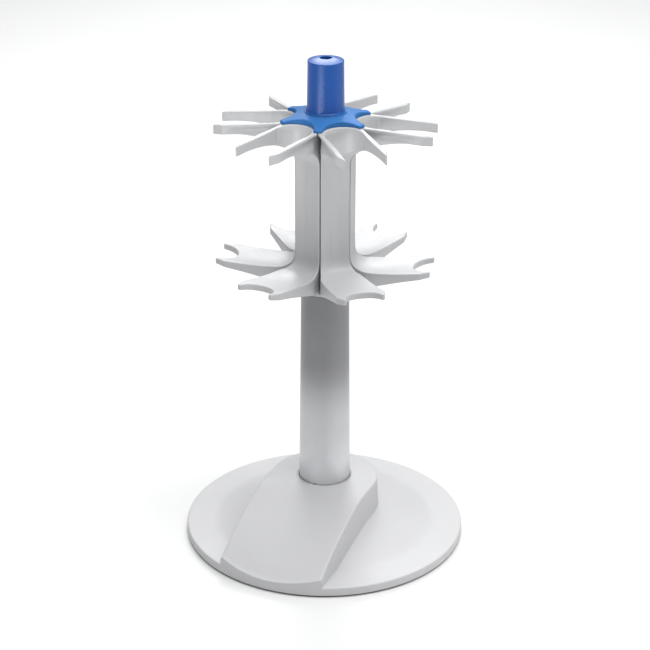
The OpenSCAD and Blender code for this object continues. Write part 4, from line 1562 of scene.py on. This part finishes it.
@dataclass
class Carousel:
    """Everything that turns: hub, bushes, six holders, star and handle."""

    holder: Holder = field(default_factory=Holder)
    star: Star = field(default_factory=Star)
    handle: Handle = field(default_factory=Handle)
    count: int = 6
    phase: float = 14.25

    def build(self, around: AroundAxis) -> None:
        """Builds and dresses the carousel.

        Args:
            around: the tree that repeats parts round the axis.
        """
        pattern = Finish.HOLDER.dress(self.holder.piece())
        for k in range(self.count):
            piece = around.copies(pattern, f"holder_form_{k + 1}", Finish.HOLDER,
                                  first=self.phase + 360 / self.count * k)
            carry(piece, Body.CAROUSEL, f"holder_{k + 1}")
        bpy.data.objects.remove(pattern)
        carry(Finish.STAR.dress(self.star.piece()), Body.CAROUSEL, "star_cover")
        carry(Finish.HANDLE.dress(self.handle.piece()), Body.CAROUSEL, "handle")
        dress_solids({
            "hub": Finish.HUB, "hub_cap": Finish.HUB, "lower_bush": Finish.BEARING,
            "upper_bush": Finish.BEARING, "cap_screws": Finish.STEEL, "cap_insert": Finish.INSERT,
            "handle_screw": Finish.STEEL})


# ---------------------------------------------------------------- studio


@dataclass(frozen=True)
class Softbox:
    """A soft rectangular lamp, placed from the camera's line of sight."""

    name: str
    turn: float
    rise: float
    reach: float
    width: float
    height: float
    power: float
    aim_z: float = 120.0
    spread: float = 180.0

    def hang(self, heading: float) -> None:
        """Hangs the lamp and points it at the stand.

        Args:
            heading: direction that the camera looks in, in degrees round the axis.
        """
        data = bpy.data.lights.new(self.name, "AREA")
        data.shape = "RECTANGLE"
        data.size, data.size_y, data.energy = self.width * MM, self.height * MM, self.power
        data.spread = math.radians(self.spread)
        lamp = put(self.name, data)
        turn, rise = math.radians(heading + self.turn), math.radians(self.rise)
        flat = math.cos(rise)
        ray = Vector((math.cos(turn) * flat, math.sin(turn) * flat, math.sin(rise)))
        lamp.location = (Vector((0, 0, self.aim_z)) + ray * self.reach) * MM
        lamp.rotation_euler = (-ray).to_track_quat("-Z", "Y").to_euler()
        lamp.visible_camera = False


@dataclass
class Studio:
    """Pale floor, soft lamps and the camera."""

    camera_at: tuple[float, float, float] = (470.7, -1069.8, 673.0)
    heading: float = 23.75
    tilt: float = 24.10
    roll: float = 0.18
    lens: float = 108.4
    sensor: float = 36.0
    view_end: float = 20.0
    floor_size: float = 8000.0
    floor_tone: float = 0.77
    floor_tones: Point = (0.01, 0.01)
    floor_cloud: float = 120.0
    floor_roughness: float = 0.8
    floor_gloss: float = 0.2
    room: Colour = (0.97, 0.985, 1.0)
    room_level: float = 0.34
    lamps: Sequence[Softbox] = (
        Softbox("back_softbox", 0, 42, 1700, 520, 1000, 10.5),
        Softbox("top_softbox", -140, 77, 1500, 1500, 1500, 27.5),
        Softbox("background_softbox", 0, 40, 2500, 2200, 900, 10.0),
        Softbox("right_softbox", -100, 12, 1500, 900, 700, 3.0),
        Softbox("left_strip", 149, -24, 300, 190, 80, 0.036, 315.0, 50.0))

    def build(self) -> None:
        """Sets up the studio."""
        self.floor()
        world = bpy.data.worlds.new("room")
        world.use_nodes = True
        background = world.node_tree.nodes["Background"]
        background.inputs["Color"].default_value = (*self.room, 1)
        background.inputs["Strength"].default_value = self.room_level
        bpy.context.scene.world = world
        for lamp in self.lamps:
            lamp.hang(90 + self.heading)
        self.camera()

    def floor(self) -> None:
        """Lays a plain pale floor."""
        half = self.floor_size / 2
        points = np.array([(-half, -half, 0), (half, -half, 0), (half, half, 0), (-half, half, 0)])
        floor = new_piece("floor", points, [(0, 1, 2, 3)])
        sheet = Sheet("floor_paint", Roughness=self.floor_roughness,
                      Specular_IOR_Level=self.floor_gloss)
        sheet.tint(sheet.noise(self.floor_cloud), (self.floor_tone,) * 3, self.floor_tones)
        floor.data.materials.append(sheet.material)
        floor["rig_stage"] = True

    def camera(self) -> None:
        """Sets up the camera."""
        data = bpy.data.cameras.new("camera")
        data.lens, data.sensor_width, data.clip_end = self.lens, self.sensor, self.view_end
        camera = put("camera", data)
        turns = ((self.heading, "Z"), (90 - self.tilt, "X"), (self.roll, "Z"))
        place = Matrix.Translation(Vector(self.camera_at) * MM)
        for angle, axis in turns:
            place = place @ Matrix.Rotation(math.radians(angle), 4, axis)
        camera.matrix_world = place
        bpy.context.scene.camera = camera
        bpy.context.scene.view_settings.view_transform = "Standard"


def corners(bounds: Sequence[Sequence[float]]) -> list[list[float]]:
    """A box as plain lists of numbers."""
    return [[float(v) for v in corner] for corner in bounds]


def main() -> None:
    """Builds the stand and its studio."""
    logging.basicConfig(level=logging.INFO, format="%(name)s: %(message)s")
    solids = corners(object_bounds())
    around = AroundAxis()
    Base().build(around)
    Column().build()
    Carousel().build(around)
    Studio().build()
    {"solids": solids, "looks": corners(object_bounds())}


if __name__ == "__main__":
    main()
